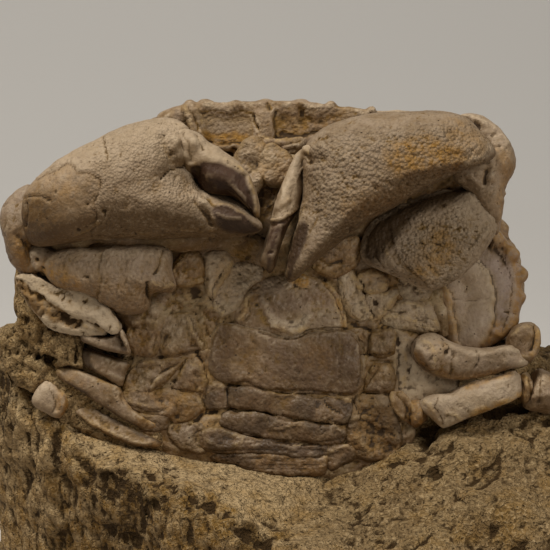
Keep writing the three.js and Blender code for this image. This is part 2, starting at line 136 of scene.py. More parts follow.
def cells(places, size, seed=0):
    """Distances from the nearest of a scatter of points `size` apart."""
    p = places @ TURN.T / size
    cell = np.floor(p).astype(np.int64)
    nearest = np.full(len(p), 9.0)
    for step in np.ndindex(3, 3, 3):
        there = cell + np.array(step) - 1
        spot = np.stack([lattice(there, seed + axis * 101) for axis in range(3)], axis=-1)
        nearest = np.minimum(nearest, np.linalg.norm(there + spot - p, axis=-1))
    return nearest


def smoothstep(low, high, values):
    t = np.clip((values - low) / (high - low), 0, 1)
    return t * t * (3 - 2 * t)


# ---------------------------------------------------------------- curves


def through(points, closed, ease=0.5):
    """A dense run of points on a smooth curve through a list of points: less ease gives sharper corners."""
    points = np.array(points, float)
    count = len(points)
    if count == 1:
        return points
    t = np.linspace(0, 1, 24, endpoint=False)[:, None]
    runs = []
    for i in range(count if closed else count - 1):
        if closed:
            a, b, c, d = (points[(i + k) % count] for k in (-1, 0, 1, 2))
        else:
            a, b, c, d = (points[min(max(i + k, 0), count - 1)] for k in (-1, 0, 1, 2))
        leave = ease * (c - a)
        arrive = ease * (d - b)
        squared = 3 * (c - b) - 2 * leave - arrive
        cubed = 2 * (b - c) + leave + arrive
        runs.append(b + leave * t + squared * t**2 + cubed * t**3)
    runs.append(points[:1] if closed else points[-1:])
    return np.concatenate(runs)


def sketch(points, depth=0.0):
    """Places (x, z) of (across, down) points of the belly sketch, as they lie at a depth."""
    scale = SKETCH_UNIT * (1 + depth / EYE_DISTANCE)
    return [((across - SKETCH_MIDDLE) * scale, (SKETCH_MIDDLE - down) * scale) for across, down in points]


def on_sheet(places):
    """The (x, z) places at which points of the crab's frame are seen on a sheet at its middle."""
    return places[:, (0, 2)] / (1 + places[:, 1:2] / EYE_DISTANCE)


def along(curve, fractions):
    """Places at fractions of the way along a dense curve."""
    length = np.r_[0, np.cumsum(np.linalg.norm(np.diff(curve, axis=0), axis=1))]
    return np.stack([np.interp(fractions * length[-1], length, axis) for axis in curve.T], axis=-1)


def path_distance(places, path):
    """Distance of flat places from a path, positive on its left side."""
    if len(path) == 1:
        return np.linalg.norm(places - path[0], axis=1)
    best = np.full(len(places), 1e9)
    side = np.ones(len(places))
    for start, end in zip(path[:-1], path[1:]):
        run = end - start
        length = max(float(run @ run), 1e-9)
        offset = places - start
        t = np.clip(offset @ run / length, 0, 1)
        gap = np.linalg.norm(offset - t[:, None] * run, axis=1)
        nearer = gap < best
        best = np.where(nearer, gap, best)
        cross = run[0] * offset[:, 1] - run[1] * offset[:, 0]
        side = np.where(nearer, np.sign(cross), side)
    return best * side


# ---------------------------------------------------------------- shapes


def ball(segments, rings):
    bm = bmesh.new()
    bmesh.ops.create_uvsphere(bm, u_segments=segments, v_segments=rings, radius=1)
    return bm


def coordinates(bm):
    return np.array([vertex.co for vertex in bm.verts])


def move(bm, places):
    for vertex, place in zip(bm.verts, places):
        vertex.co = Vector(place)
    bmesh.ops.recalc_face_normals(bm, faces=bm.faces)
    return bm


def plate(outline, edge=PLATE_EDGE, front=4.0, back=2.5, lean=0.0, fullness=2.6, grow=0.4, ease=0.5):
    """A domed plate. Its edge runs through the outline's (x, z) points at depth `edge`, it swells
    `front` towards the belly and `back` behind the edge, and leans by `lean` for each unit of height."""
    steps = 720
    rim = along(through(outline, True, ease), np.linspace(0, 1, steps + 1))
    centre = rim[:-1].mean(axis=0)
    bm = ball(96, 40)
    co = coordinates(bm)
    turn = (np.arctan2(co[:, 1], co[:, 0]) / math.tau) % 1
    arm = np.stack([np.interp(turn * steps, np.arange(steps + 1), axis) for axis in rim.T], axis=-1) - centre
    reach = np.linalg.norm(arm, axis=1, keepdims=True)
    arm = arm / reach * (reach + grow)
    spread = np.minimum(1, np.hypot(co[:, 0], co[:, 1])) ** (2 / fullness)
    swell = np.abs(co[:, 2]) ** (2 / fullness)
    depth = np.where(co[:, 2] > 0, -(front + grow) * swell, back * swell)
    x = centre[0] + arm[:, 0] * spread
    z = centre[1] + arm[:, 1] * spread
    return move(bm, np.stack([x, edge + depth + lean * (z - centre[1]), z], axis=-1))


def limb(route, widths, depths, blunt=4, grow=0.3):
    """A long piece: an oval section swept along a smooth route of (x, y, z) points, with rounded ends."""
    curve = through(route, False)
    bm = ball(48, 64)
    co = coordinates(bm)
    t = np.arccos(np.clip(-co[:, 2], -1, 1)) / math.pi
    middle = along(curve, t)
    tangent = along(curve, np.minimum(t + 0.01, 1)) - along(curve, np.maximum(t - 0.01, 0))
    tangent /= np.linalg.norm(tangent, axis=1, keepdims=True)
    across = np.cross(tangent, (0, 1, 0))
    across /= np.linalg.norm(across, axis=1, keepdims=True)
    outwards = np.cross(tangent, across)
    roundness = np.maximum(0, 1 - np.abs(2 * t - 1) ** blunt) ** (1 / blunt)
    radius = np.maximum(np.hypot(co[:, 0], co[:, 1]), 1e-6)
    stations = np.linspace(0, 1, len(widths))
    sideways = (np.interp(t, stations, widths) / 2 + grow) * roundness * co[:, 0] / radius
    deep = (np.interp(t, stations, depths) / 2 + grow) * roundness * co[:, 1] / radius
    return move(bm, middle + across * sideways[:, None] + outwards * deep[:, None])


def cad_copy(node):
    """The merged shape of a CAD node, in millimetres."""
    bm = bmesh.new()
    bm.from_mesh(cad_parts[node].data)
    bmesh.ops.remove_doubles(bm, verts=bm.verts, dist=1e-6)
    bmesh.ops.scale(bm, vec=(1 / MM, 1 / MM, 1 / MM), verts=bm.verts)
    return bm


# ---------------------------------------------------------------- clay

class Clay:
    """A closed skin of even cells, in millimetres, that is carved along its normals and then shown."""

    def __init__(self, name, shapes, rounds=4, drawn=False, cell=None):
        self.name = name
        self.drawn = drawn
        whole = bpy.data.meshes.new(name + "_parts")
        merged = bmesh.new()
        for shape in shapes:
            part = bpy.data.meshes.new(name + "_part")
            shape.to_mesh(part)
            merged.from_mesh(part)
            bpy.data.meshes.remove(part)
            shape.free()
        merged.to_mesh(whole)
        merged.free()
        source = bpy.data.objects.new(name + "_source", whole)
        bpy.context.collection.objects.link(source)
        skin = source.modifiers.new("skin", "REMESH")
        skin.mode = "VOXEL"
        skin.voxel_size = cell or cell_size()
        graph = bpy.context.evaluated_depsgraph_get()
        self.mesh = bpy.data.meshes.new_from_object(source.evaluated_get(graph))
        self.mesh.name = name
        bpy.data.objects.remove(source)
        bpy.data.meshes.remove(whole)
        count = len(self.mesh.vertices)
        self.co = np.empty(count * 3)
        self.mesh.vertices.foreach_get("co", self.co)
        self.co = self.co.reshape(-1, 3)
        ends = np.empty(len(self.mesh.edges) * 2, dtype=np.int32)
        self.mesh.edges.foreach_get("vertices", ends)
        self.a, self.b = ends.reshape(-1, 2).T
        self.degree = np.bincount(self.a, minlength=count) + np.bincount(self.b, minlength=count)
        self.marks = {}
        self.crest = np.zeros(count)
        self.co = self.blurred(self.co, rounds)

    def blurred(self, values, rounds):
        """Values at the vertices, averaged with their neighbours again and again."""
        count = len(values)
        columns = values.reshape(count, -1).T
        done = []
        for column in columns:
            for _ in range(rounds):
                ahead = np.bincount(self.a, column[self.b], count)
                behind = np.bincount(self.b, column[self.a], count)
                column = 0.5 * column + 0.5 * (ahead + behind) / self.degree
            done.append(column)
        return np.stack(done, axis=-1).reshape(values.shape)

    def normals(self):
        self.mesh.vertices.foreach_set("co", self.co.ravel())
        self.mesh.update()
        normals = np.empty(len(self.co) * 3)
        self.mesh.vertex_normals.foreach_get("vector", normals)
        return normals.reshape(-1, 3)

    def raise_by(self, heights):
        """Moves the skin out along its normals by a height at each vertex."""
        self.co = self.co + self.normals() * np.broadcast_to(heights, len(self.co))[:, None]

    def upward(self):
        """How far the skin of the crab or the block faces up, from -1 to 1."""
        return self.normals() @ np.array(CRAB_PLACE)[2, :3]

    def facing(self):
        """1 where the skin faces the belly side, 0 where it faces away."""
        return smoothstep(-0.1, 0.4, -self.normals()[:, 1])

    def flat(self, wobble=0.0):
        """The (x, z) places of the vertices, shifted about a little so that lines drawn on them waver."""
        places = on_sheet(self.co) if self.drawn else self.co[:, (0, 2)]
        if wobble:
            shift = np.stack([rough(self.co, 3, 3, seed=5), rough(self.co, 3, 3, seed=55)], axis=-1)
            places = places + wobble * shift
        return places

    def stroke(self, strokes, wobble=0.35):
        """Draws ridges and grooves. A stroke is (points, width, height): a groove's height is negative,
        and a single point makes a knob or a pit."""
        places = self.flat(wobble)
        total = np.zeros(len(places))
        for points, width, height in strokes:
            points = np.array(points, float)
            low = points.min(axis=0) - 3 * width
            high = points.max(axis=0) + 3 * width
            near = np.all((places > low) & (places < high), axis=1)
            if near.any():
                path = through(points, False)[::4]
                gap = path_distance(places[near], path)
                line = np.exp(-((gap / width) ** 2))
                total[near] += height * line
                if height > CREST_HEIGHT and width < CREST_WIDTH:
                    self.crest[near] = np.maximum(self.crest[near], line)
        self.raise_by(total * self.facing())

    def within(self, outline, soft=1.0, wobble=0.5, behind=False, inset=0.0, ease=0.5):
        """1 inside a smooth outline on the belly side, falling to 0 over the soft width."""
        places = self.flat(wobble)
        path = through(outline, True, ease)[::4]
        gap = np.abs(path_distance(places, np.r_[path, path[:1]]))
        x, z = places.T
        odd = np.zeros(len(places), bool)
        for (ax, az), (bx, bz) in zip(path, np.roll(path, -1, axis=0)):
            if az != bz:
                odd ^= ((az > z) != (bz > z)) & (x < (bx - ax) * (z - az) / (bz - az) + ax)
        return smoothstep(-soft, soft, np.where(odd, gap, -gap) - inset) * (1 if behind else self.facing())

    def draw(self, strokes, depth=0.0, wobble=0.35):
        """Strokes whose points are in sketch units, as they lie at a depth."""
        self.stroke([(sketch(points, depth), width, height) for points, width, height in strokes], wobble)

    def inside(self, points, soft=1.0, wobble=0.5, depth=0.0):
        """The same as within, for an outline in sketch units."""
        return self.within(sketch(points, depth), soft, wobble)

    def patches(self, low, high, size, octaves, gain=0.5, seed=0):
        """Soft-edged patches: 0 where the noise is below low and 1 where it is above high."""
        return smoothstep(low, high, rough(self.co, size, octaves, gain, seed))

    def ledge(self, points, width, height, reach=6.0):
        """Raises the left-hand side of a path by a height that dies away over the reach."""
        gap = path_distance(self.flat(0.45), through(points, False)[::4])
        fade = smoothstep(reach, reach / 3, np.abs(gap))
        self.raise_by(height * smoothstep(-width, width, gap) * fade * self.facing())

    def weather(self, seed=0, swell=0.35, rub=0.09):
        """Uneven swelling, a rubbed skin and small scars all over."""
        broad = rough(self.co, 7.5, 3, seed=seed)
        fine = rough(self.co, 1.9, 3, 0.6, seed=seed + 3)
        scars = self.patches(0.55, 0.85, 3.2, 3, 0.6, seed + 9)
        self.raise_by(swell * broad + rub * fine - 2.2 * rub * scars)

    def grains(self, size, height, seed, where=1.0, stretch=(1, 1, 1)):
        """Rounded granules `size` apart."""
        near = cells(self.co * np.array(stretch), size, seed)
        lump = np.clip(1 - (near / 0.62) ** 2, -0.15, 1)
        patchy = 0.55 + 0.45 * rough(self.co, size * 5, 2, seed=seed + 5)
        self.raise_by(height * lump * patchy * where)

    def wrinkles(self, size, height, seed, where=1.0, tilt=0.0, long=2.4):
        """Short worn wrinkles that run at an angle across the belly side."""
        x, z = self.flat().T
        turned = np.stack([
            (x * math.cos(tilt) + z * math.sin(tilt)) / long, self.co[:, 1] / long,
            z * math.cos(tilt) - x * math.sin(tilt)], axis=-1)
        fold = np.abs(rough(turned, size, 2, 0.45, seed=seed))
        self.raise_by(height * (0.38 - fold) * where)

    def pits(self, size, depth, share, seed, where=1.0):
        """Round pits at a share of a scatter of points `size` apart."""
        near = cells(self.co, size, seed)
        crowd = 0.5 + 0.7 * noise(self.co, size * 1.4, seed + 21)
        some = smoothstep(1 - share * 1.3, 1 - share * 0.7, crowd)
        self.raise_by(-depth * smoothstep(0.3, 0.08, near) * some * where)

    def mark(self, name, values):
        """Keeps a number at each vertex for the finish to read."""
        self.marks[name] = np.clip(np.broadcast_to(values, len(self.co)), 0, 1)

    def seam(self, outline, width=0.9, ease=0.5):
        """1 at and beyond the edge of a plate, falling to 0 at a width within it."""
        return 1 - self.within(outline, width / 2, 0.25, behind=True, inset=width / 2, ease=ease)

    def relief(self, rounds, depth):
        """0.5 on the level, more on crests and less in grooves narrower than the rounds of blur."""
        normals = self.normals()
        rise = np.einsum("ij,ij->i", self.co - self.blurred(self.co, rounds), normals)
        return 0.5 + rise / depth

    def show(self, finish, slot, nodes):
        """Makes the object, in metres, which rides with the model and stands for its CAD nodes."""
        self.mark("fine", self.relief(*FINE_RELIEF))
        self.mark("crest", self.crest * self.facing())
        self.mark("broad", self.relief(*BROAD_RELIEF))
        # Painted shade on skin that does not face up, scaled by each piece's own under mark.
        self.mark("under", self.marks.get("under", 1.0) * smoothstep(0.8, -0.3, self.upward()))
        world = np.array(CRAB_PLACE)
        co = (self.co @ world[:3, :3].T + world[:3, 3]) * MM
        co = np.clip(co, np.array(CAD_BOX[0]), np.array(CAD_BOX[1]))
        self.mesh.vertices.foreach_set("co", co.ravel())
        for name, values in self.marks.items():
            layer = self.mesh.attributes.new(name, "FLOAT", "POINT")
            layer.data.foreach_set("value", values.astype(np.float32))
        self.mesh.polygons.foreach_set("use_smooth", np.ones(len(self.mesh.polygons), bool))
        self.mesh.update()
        self.mesh.materials.append(FINISHES[finish])
        piece = bpy.data.objects.new(self.name, self.mesh)
        bpy.context.collection.objects.link(piece)
        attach(piece, "root")
        if nodes:
            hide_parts(*nodes)


# ---------------------------------------------------------------- finishes


class Number:
    """A number that varies over a surface: sums and products of them add the Math nodes."""

    def __init__(self, finish, socket):
        self.finish = finish
        self.socket = socket

    def maths(self, operation, first, second):
        node = self.finish.node("ShaderNodeMath", {"operation": operation}, {0: first, 1: second})
        return Number(self.finish, node.outputs[0])

    def __add__(self, other):
        return self.maths("ADD", self, other)

    def __radd__(self, other):
        return self.maths("ADD", other, self)

    def __sub__(self, other):
        return self.maths("SUBTRACT", self, other)

    def __rsub__(self, other):
        return self.maths("SUBTRACT", other, self)

    def __mul__(self, other):
        return self.maths("MULTIPLY", self, other)

    def __rmul__(self, other):
        return self.maths("MULTIPLY", other, self)

    def step(self, low, high):
        """0 below low and 1 above high, or the other way round, and smooth between."""
        node = self.finish.node("ShaderNodeMapRange", {"interpolation_type": "SMOOTHSTEP"}, {
            "Value": self, "From Min": low, "From Max": high})
        return Number(self.finish, node.outputs[0])


class Finish:
    """A material made of nodes, all of which come from the one method."""

    def __init__(self, name):
        self.material = bpy.data.materials.new(name)
        self.material.use_nodes = True
        self.tree = self.material.node_tree
        self.tree.nodes.clear()
        self.colour = None
        self.object_place = self.node("ShaderNodeTexCoord", {}, {}).outputs["Object"]

    def node(self, kind, settings, inputs):
        node = self.tree.nodes.new(kind)
        for name, value in settings.items():
            setattr(node, name, value)
        for name, value in inputs.items():
            value = getattr(value, "socket", value)
            if isinstance(value, bpy.types.NodeSocket):
                self.tree.links.new(value, node.inputs[name])
            elif node.inputs[name].type == "RGBA":
                node.inputs[name].default_value = (*value, 1)
            else:
                node.inputs[name].default_value = value
        return node

    def noise(self, size, detail=3.0, roughness=0.55, stretch=(1, 1, 1), distortion=0.0):
        """Noise around 0.5 whose lumps are about `size` millimetres across."""
        place = self.node("ShaderNodeMapping", {}, {"Vector": self.object_place, "Scale": stretch})
        node = self.node("ShaderNodeTexNoise", {}, {
            "Vector": place.outputs[0], "Scale": 1 / (size * MM), "Detail": detail, "Roughness": roughness,
            "Distortion": distortion})
        return Number(self, node.outputs[0])

    def specks(self, size):
        """The distance, from 0 to about 1, from the nearest of a scatter of points."""
        node = self.node("ShaderNodeTexVoronoi", {}, {"Vector": self.object_place, "Scale": 1 / (size * MM)})
        return Number(self, node.outputs["Distance"])

    def mark(self, name):
        """A number that the carving kept at each vertex."""
        return Number(self, self.node("ShaderNodeAttribute", {"attribute_name": name}, {}).outputs["Fac"])

    def blend(self, share, first, second, way="MIX"):
        node = self.node("ShaderNodeMix", {"data_type": "RGBA", "blend_type": way, "clamp_factor": True}, {
            0: share, 6: first, 7: second})
        return node.outputs[2]

    def coat(self, share, tone):
        """Lays a share of a tone over the colour so far."""
        self.colour = self.blend(share, self.colour, tone)

    def wash(self, share, tone):
        """Darkens a share of the colour so far with a tone."""
        self.coat(share, self.blend(1.0, self.colour, tone, "MULTIPLY"))

    def close(self, roughness, height, depth, specular):
        """Joins the colour, roughness and a fine bump `depth` millimetres deep to the shader."""
        bump = self.node("ShaderNodeBump", {}, {"Height": height, "Distance": depth * MM, "Strength": 1.0})
        shader = self.node("ShaderNodeBsdfPrincipled", {}, {
            "Base Color": self.colour, "Roughness": roughness, "Specular IOR Level": specular,
            "Normal": bump.outputs[0]})
        self.node("ShaderNodeOutputMaterial", {}, {"Surface": shader.outputs[0]})
        return self.material


def fossil_finish(name, tints, main, second, wash, polish, ochre, granule, grit, specular):
    """Fossil shell: two mineral tones, ochre in the hollows and seams, pale crests that are partly painted
    highlight, dark specks and painted shade.
    """
    skin = Finish(name)
    patches = skin.noise(7, 4, 0.65, distortion=0.5).step(0.4, 0.62)
    skin.colour = skin.blend(patches, main, second)
    skin.coat(skin.noise(2.2, 4, 0.65).step(0.42, 0.72) * 0.35, tints.pale_shell)
    fine = skin.mark("fine")
    broad = skin.mark("broad")
    seam = skin.mark("seam")
    seep = skin.noise(4, 4, 0.7).step(0.42, 0.62)
    hollow = broad.step(0.54, 0.25) * 0.8 + fine.step(0.5, 0.25) * 0.4 + seam * 0.7 + 0.16
    skin.coat(hollow * (seep * 0.75 + 0.25) * (ochre * 1.7), tints.ochre_in_hollows)
    skin.coat(skin.mark("matrix") * (skin.noise(1.2, 4, 0.7).step(0.3, 0.6) * 0.6 + 0.3), tints.matrix)
    # Pale on crests and ridges: partly rubbed wear, partly a painted highlight on the edges.
    worn = skin.noise(3, 4, 0.7).step(0.42, 0.62) * (1 - seam)
    skin.coat((fine.step(0.56, 0.9) * 0.6 + broad.step(0.58, 0.9) * 0.3) * worn, tints.pale_wear_and_light)
    # The pale mark: painted light on lit tops and sides in places, elsewhere the shell's own pale bands and
    # rims.
    skin.coat(skin.mark("pale") * 0.8, tints.pale_wear_and_light)
    skin.coat(skin.mark("ochre") * (skin.noise(1.6, 4, 0.7).step(0.36, 0.6) * 0.75 + 0.2), tints.ochre)
    skin.coat(skin.mark("crest") * (skin.noise(1.5, 2).step(0.4, 0.64) * 0.6 + 0.08), tints.crest_ochre)
    skin.coat(skin.mark("enamel") * (0.95 - fine.step(0.6, 0.95) * 0.4), tints.enamel)
    # Painted shade: darkens what does not face up, by the under mark.
    skin.wash(skin.mark("under"), wash)
    grain = skin.noise(0.8, 2, 0.55)
    bare = 1 - skin.mark("enamel") * 0.9
    skin.coat(grain.step(0.5, 0.25) * (0.4 * grit) * bare, tints.dirt_and_shade)
    skin.coat(grain.step(0.52, 0.75) * (0.3 * grit) * bare, tints.pale_wear_and_light)
    pits = skin.specks(1.7).step(0.16, 0.05) * skin.noise(5, 2).step(0.5, 0.62)
    # Dark: the shade mark (painted shade, in places a darker tone), real pits and seams, and painted shade in
    # the grooves found from the fine and broad relief.
    dark = skin.mark("shade") + pits * 0.8 + fine.step(0.4, 0.0) * 0.6
    skin.coat(dark + broad.step(0.4, 0.08) * 0.65 + seam * seam * 0.2, tints.dirt_and_shade)
    roughness = polish + grain * 0.2 + fine.step(0.5, 0.2) * 0.15 + skin.mark("matrix") * 0.2
    bumps = skin.specks(granule) * skin.mark("granule")
    height = grain * 0.8 + skin.noise(1.9, 3, 0.55) * 1.2 - pits * 0.8 - bumps * 1.8
    return skin.close(roughness, height, 0.16 + 0.26 * grit, specular)


def rock_finish(name, tints):
    """Loose limestone: sandy grains of two tones, streaks where it is torn, dark pores, ochre seepage, and
    painted light and shade.
    """
    rock = Finish(name)
    fine = rock.mark("fine")
    broad = rock.mark("broad")
    torn = rock.mark("torn")
    beds = rock.noise(16, 3, 0.55, distortion=0.5).step(0.4, 0.6)
    rock.colour = rock.blend(beds, tints.rock, tints.rock_second)
    # Pale mark: fresh pale rock, with painted light on what faces up and on the lit left face.
    rock.coat(rock.mark("pale") * 0.8, tints.pale_rock_and_light)
    rock.coat(rock.noise(7, 3, 0.6).step(0.5, 0.66) * 0.4, tints.rock_ochre)
    rock.coat(rock.mark("ochre") * (rock.noise(3.4, 2, 0.6).step(0.36, 0.6) * 0.8 + 0.15), tints.rock_ochre)
    grains = rock.noise(0.85, 2, 0.5, distortion=1.0)
    crumbs = rock.noise(2.2, 2, 0.55, distortion=0.6)
    streaks = rock.noise(1.5, 2, 0.5, stretch=(1, 1, 0.25))
    rock.coat(grains.step(0.5, 0.7) * 0.55, tints.pale_rock_and_light)
    rock.coat(streaks.step(0.52, 0.72) * torn * 0.5, tints.pale_rock_and_light)
    pores = rock.specks(1.3).step(0.2, 0.1) * rock.noise(3, 2).step(0.44, 0.56)
    # Painted shade on what does not face up.
    rock.wash(rock.mark("under") * 0.6, tints.under_shade)
    # Dark: real grains, crumbs, pores and streaks, painted shade in the grooves found from the fine and broad
    # relief, and the shade mark (painted shadow in the hollow, the crack and below the rim, with darker
    # patches).
    dark = grains.step(0.48, 0.3) * 0.55 + crumbs.step(0.44, 0.28) * 0.5 + pores * 0.7
    dark = dark + fine.step(0.42, -0.1) * 0.5 + broad.step(0.42, 0.05) * 0.45
    dark = dark + streaks.step(0.46, 0.28) * torn * 0.5 + rock.mark("shade") * 0.8
    rock.coat(dark, tints.rock_dirt_and_shade)
    height = grains * 0.9 + crumbs * 1.5 - pores * 0.5 + streaks * torn * 0.9
    return rock.close(0.92, height, 1.5, 0.2)


# ---------------------------------------------------------------- claws

PALM = {"edge": -12, "front": 12.6, "back": 10, "fullness": 2.5}

LEFT_PALM = [
    [-18.5, 28], [-19.5, 24.5], [-18, 20], [-15, 17], [-12.5, 15], [-12, 12], [-13, 9.5], [-23, 8.5],
    [-39, 8], [-48, 7], [-54, 7], [-56, 10], [-56.5, 15], [-55, 19.5], [-51, 23.5], [-46, 27],
    [-38.5, 31], [-30.5, 34], [-24.5, 35], [-21, 34], [-19, 31],
]
LEFT_OLD_SHELL = [[-56, 20], [-52, 21.8], [-49.5, 22.6], [-47.3, 23.8], [-46, 24.7], [-44.4, 24.1],
                  [-43.6, 23], [-41.8, 22.4], [-40, 22.1], [-38.4, 20.9], [-38.2, 19], [-38.9, 16.5],
                  [-38.6, 13.2], [-39.2, 10.3], [-41.1, 8.8], [-44.4, 7.4]]
RIGHT_PALM = [[48.5, 26], [40.5, 23], [33.5, 19.5], [28, 16.5], [22.5, 13.5], [18, 10.2], [14.5, 7.4],
              [11, 4.8], [7.6, 1.8], [4.8, -0.8], [3.2, -1.4], [2.6, 0.4], [3.5, 5], [4.8, 10.3], [5.9, 15],
              [6.5, 20], [6.4, 24.5], [7, 28.5], [9.5, 31.5], [14, 34], [20, 35.5], [28, 36.5], [37, 36.5],
              [42, 35.5], [45.5, 32.5], [48.5, 29]]


def left_claw_palm():
    clay = Clay("left_claw_palm", [
        plate(LEFT_PALM, **PALM),
        limb([[-19, -12, 14], [-13.5, -14, 13.5], [-8, -17, 12], [-2.7, -19, 10.2]], [10, 9.5, 7, 2.5],
             [14, 12, 9, 4]),
    ])
    clay.weather(1, 0.3, 0.05)
    clay.stroke([
        ([[-22.7, 30], [-22, 27.5], [-20.2, 25], [-19.6, 22.5], [-17.6, 19.8], [-15.4, 17.5]], 0.9, 0.7),
        ([[-25, 30.5], [-24, 27.5], [-22.6, 24.8]], 1.0, -0.45), ([[-20.4, 32.3]], 1.3, 0.8),
        ([[-21.8, 29.4]], 1.0, 0.7), ([[-22.4, 26.6]], 0.9, -0.6), ([[-20, 27.3]], 0.9, 0.6),
        ([[-19.4, 30]], 0.8, -0.5), ([[-18.2, 17.6], [-15.6, 15], [-13.4, 12.2]], 0.7, 0.55),
        ([[-15.8, 16], [-13, 13.6], [-10.6, 12.6], [-8, 12.4]], 0.6, 0.4),
        ([[-17.4, 15.6], [-15.4, 13], [-14.2, 10.8]], 0.6, -0.45),
        ([[-12, 15.4], [-9.2, 14.4], [-6, 12.6], [-3.4, 10.6]], 0.5, 0.5),
        ([[-24.4, 9.9], [-19, 9.9], [-13.6, 9.8]], 0.45, 0.6),
        ([[-34, 8.8], [-24, 8.7], [-14, 8.8]], 0.4, 0.4),
        ([[-40.4, 8.6], [-30, 8.3], [-23, 8.4], [-15, 8.9]], 0.5, -0.4),
        ([[-44.6, 9], [-42, 9.6], [-40.2, 10.4], [-38.8, 11.6]], 0.35, 0.35),
    ])
    coarse = clay.within([[-38, 33], [-39, 8], [-14, 8], [-13, 12], [-18, 20], [-22, 27], [-24, 35]], 2)
    clay.ledge(LEFT_OLD_SHELL[1:], 0.16, 0.36, 7)
    clay.grains(0.85, 0.08, 3, coarse * 0.9 + 0.08)
    clay.wrinkles(2.6, 0.08, 4, clay.within([[-36, 24], [-22, 25], [-17, 16], [-26, 11], [-37, 14]], 3), 0.5)
    clay.pits(1.6, 0.2, 0.3, 6)
    clay.stroke([
        ([[-38.3, 31.4], [-37.5, 28.6], [-36.7, 25.3]], 0.2, -0.5),
        ([[-25.2, 21], [-23.1, 23.1], [-20.6, 23.9], [-19.2, 25]], 0.2, -0.5),
        ([[-56, 17.2], [-52.5, 17.6], [-49.4, 16.4]], 0.22, -0.5),
        ([[-55.4, 16], [-55.2, 13.5], [-55.5, 11]], 0.3, -0.7),
        ([[-37.4, 13.9]], 0.55, -1.0), ([[-37.3, 12.9]], 0.35, -0.5), ([[-48.4, 18.3]], 0.3, -0.6),
        ([[-41.1, 15.6]], 0.35, -0.5), ([[-43.3, 9.9]], 0.38, -0.7), ([[-44.7, 13.9]], 0.6, 0.15),
    ], 0.15)
    enamel = [[-13.9, 14.2], [-11.7, 15.5], [-8.8, 15], [-5.9, 13.2], [-2.9, 10.8], [-3.7, 9.3], [-7.7, 9],
              [-11.7, 9.8], [-12.8, 11.8]]
    tip = clay.within(enamel, 0.6)
    clay.mark("enamel", tip)
    brown = clay.within([[-57, 17], [-50, 16.5], [-47.5, 12], [-48, 7.5], [-56, 7]], 2.5)
    old = clay.within(LEFT_OLD_SHELL + [[-57, 7]], 0.5)
    # Painted shade towards the bottom of the palm, added to the darker brown patch, the old shell and the
    # dark tip.
    shade = 0.35 * brown + 0.08 * old + 0.22 * smoothstep(20, 11, clay.co[:, 2])
    clay.mark("shade", np.maximum(shade, 0.25 * tip))
    stain = clay.within([[-47, 20], [-44, 19], [-45, 16], [-49, 17]], 2)
    clay.mark("ochre", 0.5 * brown + 0.25 * old + 0.3 * stain)
    # Painted light on the top of the palm.
    clay.mark("pale", 0.45 * smoothstep(20, 31, clay.co[:, 2]) * clay.facing())
    clay.mark("granule", 0.1 + 0.45 * coarse)
    clay.show("palm", "palm", ["left_claw_palm"])


def left_claw_finger():
    clay = Clay("left_claw_finger", [
        plate([[-18.4, 31], [-15.4, 30], [-11, 27], [-7, 23.6], [-4.8, 19.8], [-3.6, 15.4], [-4, 12.6],
               [-6, 14.7], [-8.8, 17.2], [-12, 18], [-15, 18.4], [-17, 20.2], [-18.4, 23.4], [-19.6, 27.5]],
              -15, 7.2, 8, lean=0.12, fullness=2.5),
        plate([[-22, 32.6], [-18.3, 32], [-15.4, 29.9], [-14.6, 26.4], [-16.6, 22.4], [-19.4, 22.6],
               [-21.4, 27.5]], -14, 6.4, 4, fullness=3),
    ])
    enamel = [[-19, 23.4], [-17.4, 24.6], [-13.2, 24.8], [-10.2, 23.8], [-7.4, 21.8], [-5.6, 19],
              [-4.7, 16.2], [-4.2, 13.4], [-5.4, 12], [-9, 16], [-12, 16.6], [-16, 17.4], [-18.4, 20.4]]
    clay.weather(11, 0.22, 0.05)
    clay.raise_by(-0.35 * clay.within(enamel, 0.8))
    clay.stroke([
        ([[-11, 25.6], [-9, 24.4], [-6.8, 22.2], [-5.3, 19.4], [-4.4, 16.4], [-4.2, 13.6]], 0.45, 0.5),
        ([[-8.4, 20.6], [-6.4, 18], [-5.2, 15.2]], 0.8, -0.25),
        ([[-17.6, 23.4], [-16.4, 21], [-14.4, 19.4]], 0.9, -0.5),
        ([[-15, 22], [-11.4, 21.4], [-8.6, 19.4], [-6.6, 16.8]], 1.2, 0.3), ([[-18.4, 29]], 1.4, 0.5),
        ([[-15.6, 28.6], [-14.2, 27.4]], 1.0, -0.3), ([[-13, 28.2]], 1.2, 0.3),
        ([[-20.4, 31.4], [-19, 28.4], [-18.8, 25]], 0.5, -0.5), ([[-17.4, 31], [-16, 28]], 0.5, -0.4),
        ([[-20, 26.4]], 0.9, 0.5), ([[-18.8, 24.4], [-17, 24.2]], 0.5, 0.5),
    ])
    clay.grains(1.0, 0.06, 12, 1 - clay.within(enamel, 1))
    clay.pits(1.5, 0.15, 0.3, 13)
    tip = clay.within(enamel, 0.5)
    clay.mark("enamel", tip)
    clay.mark("pale", 0.5 * (1 - tip))
    clay.show("finger", "finger", ["left_claw_finger"])


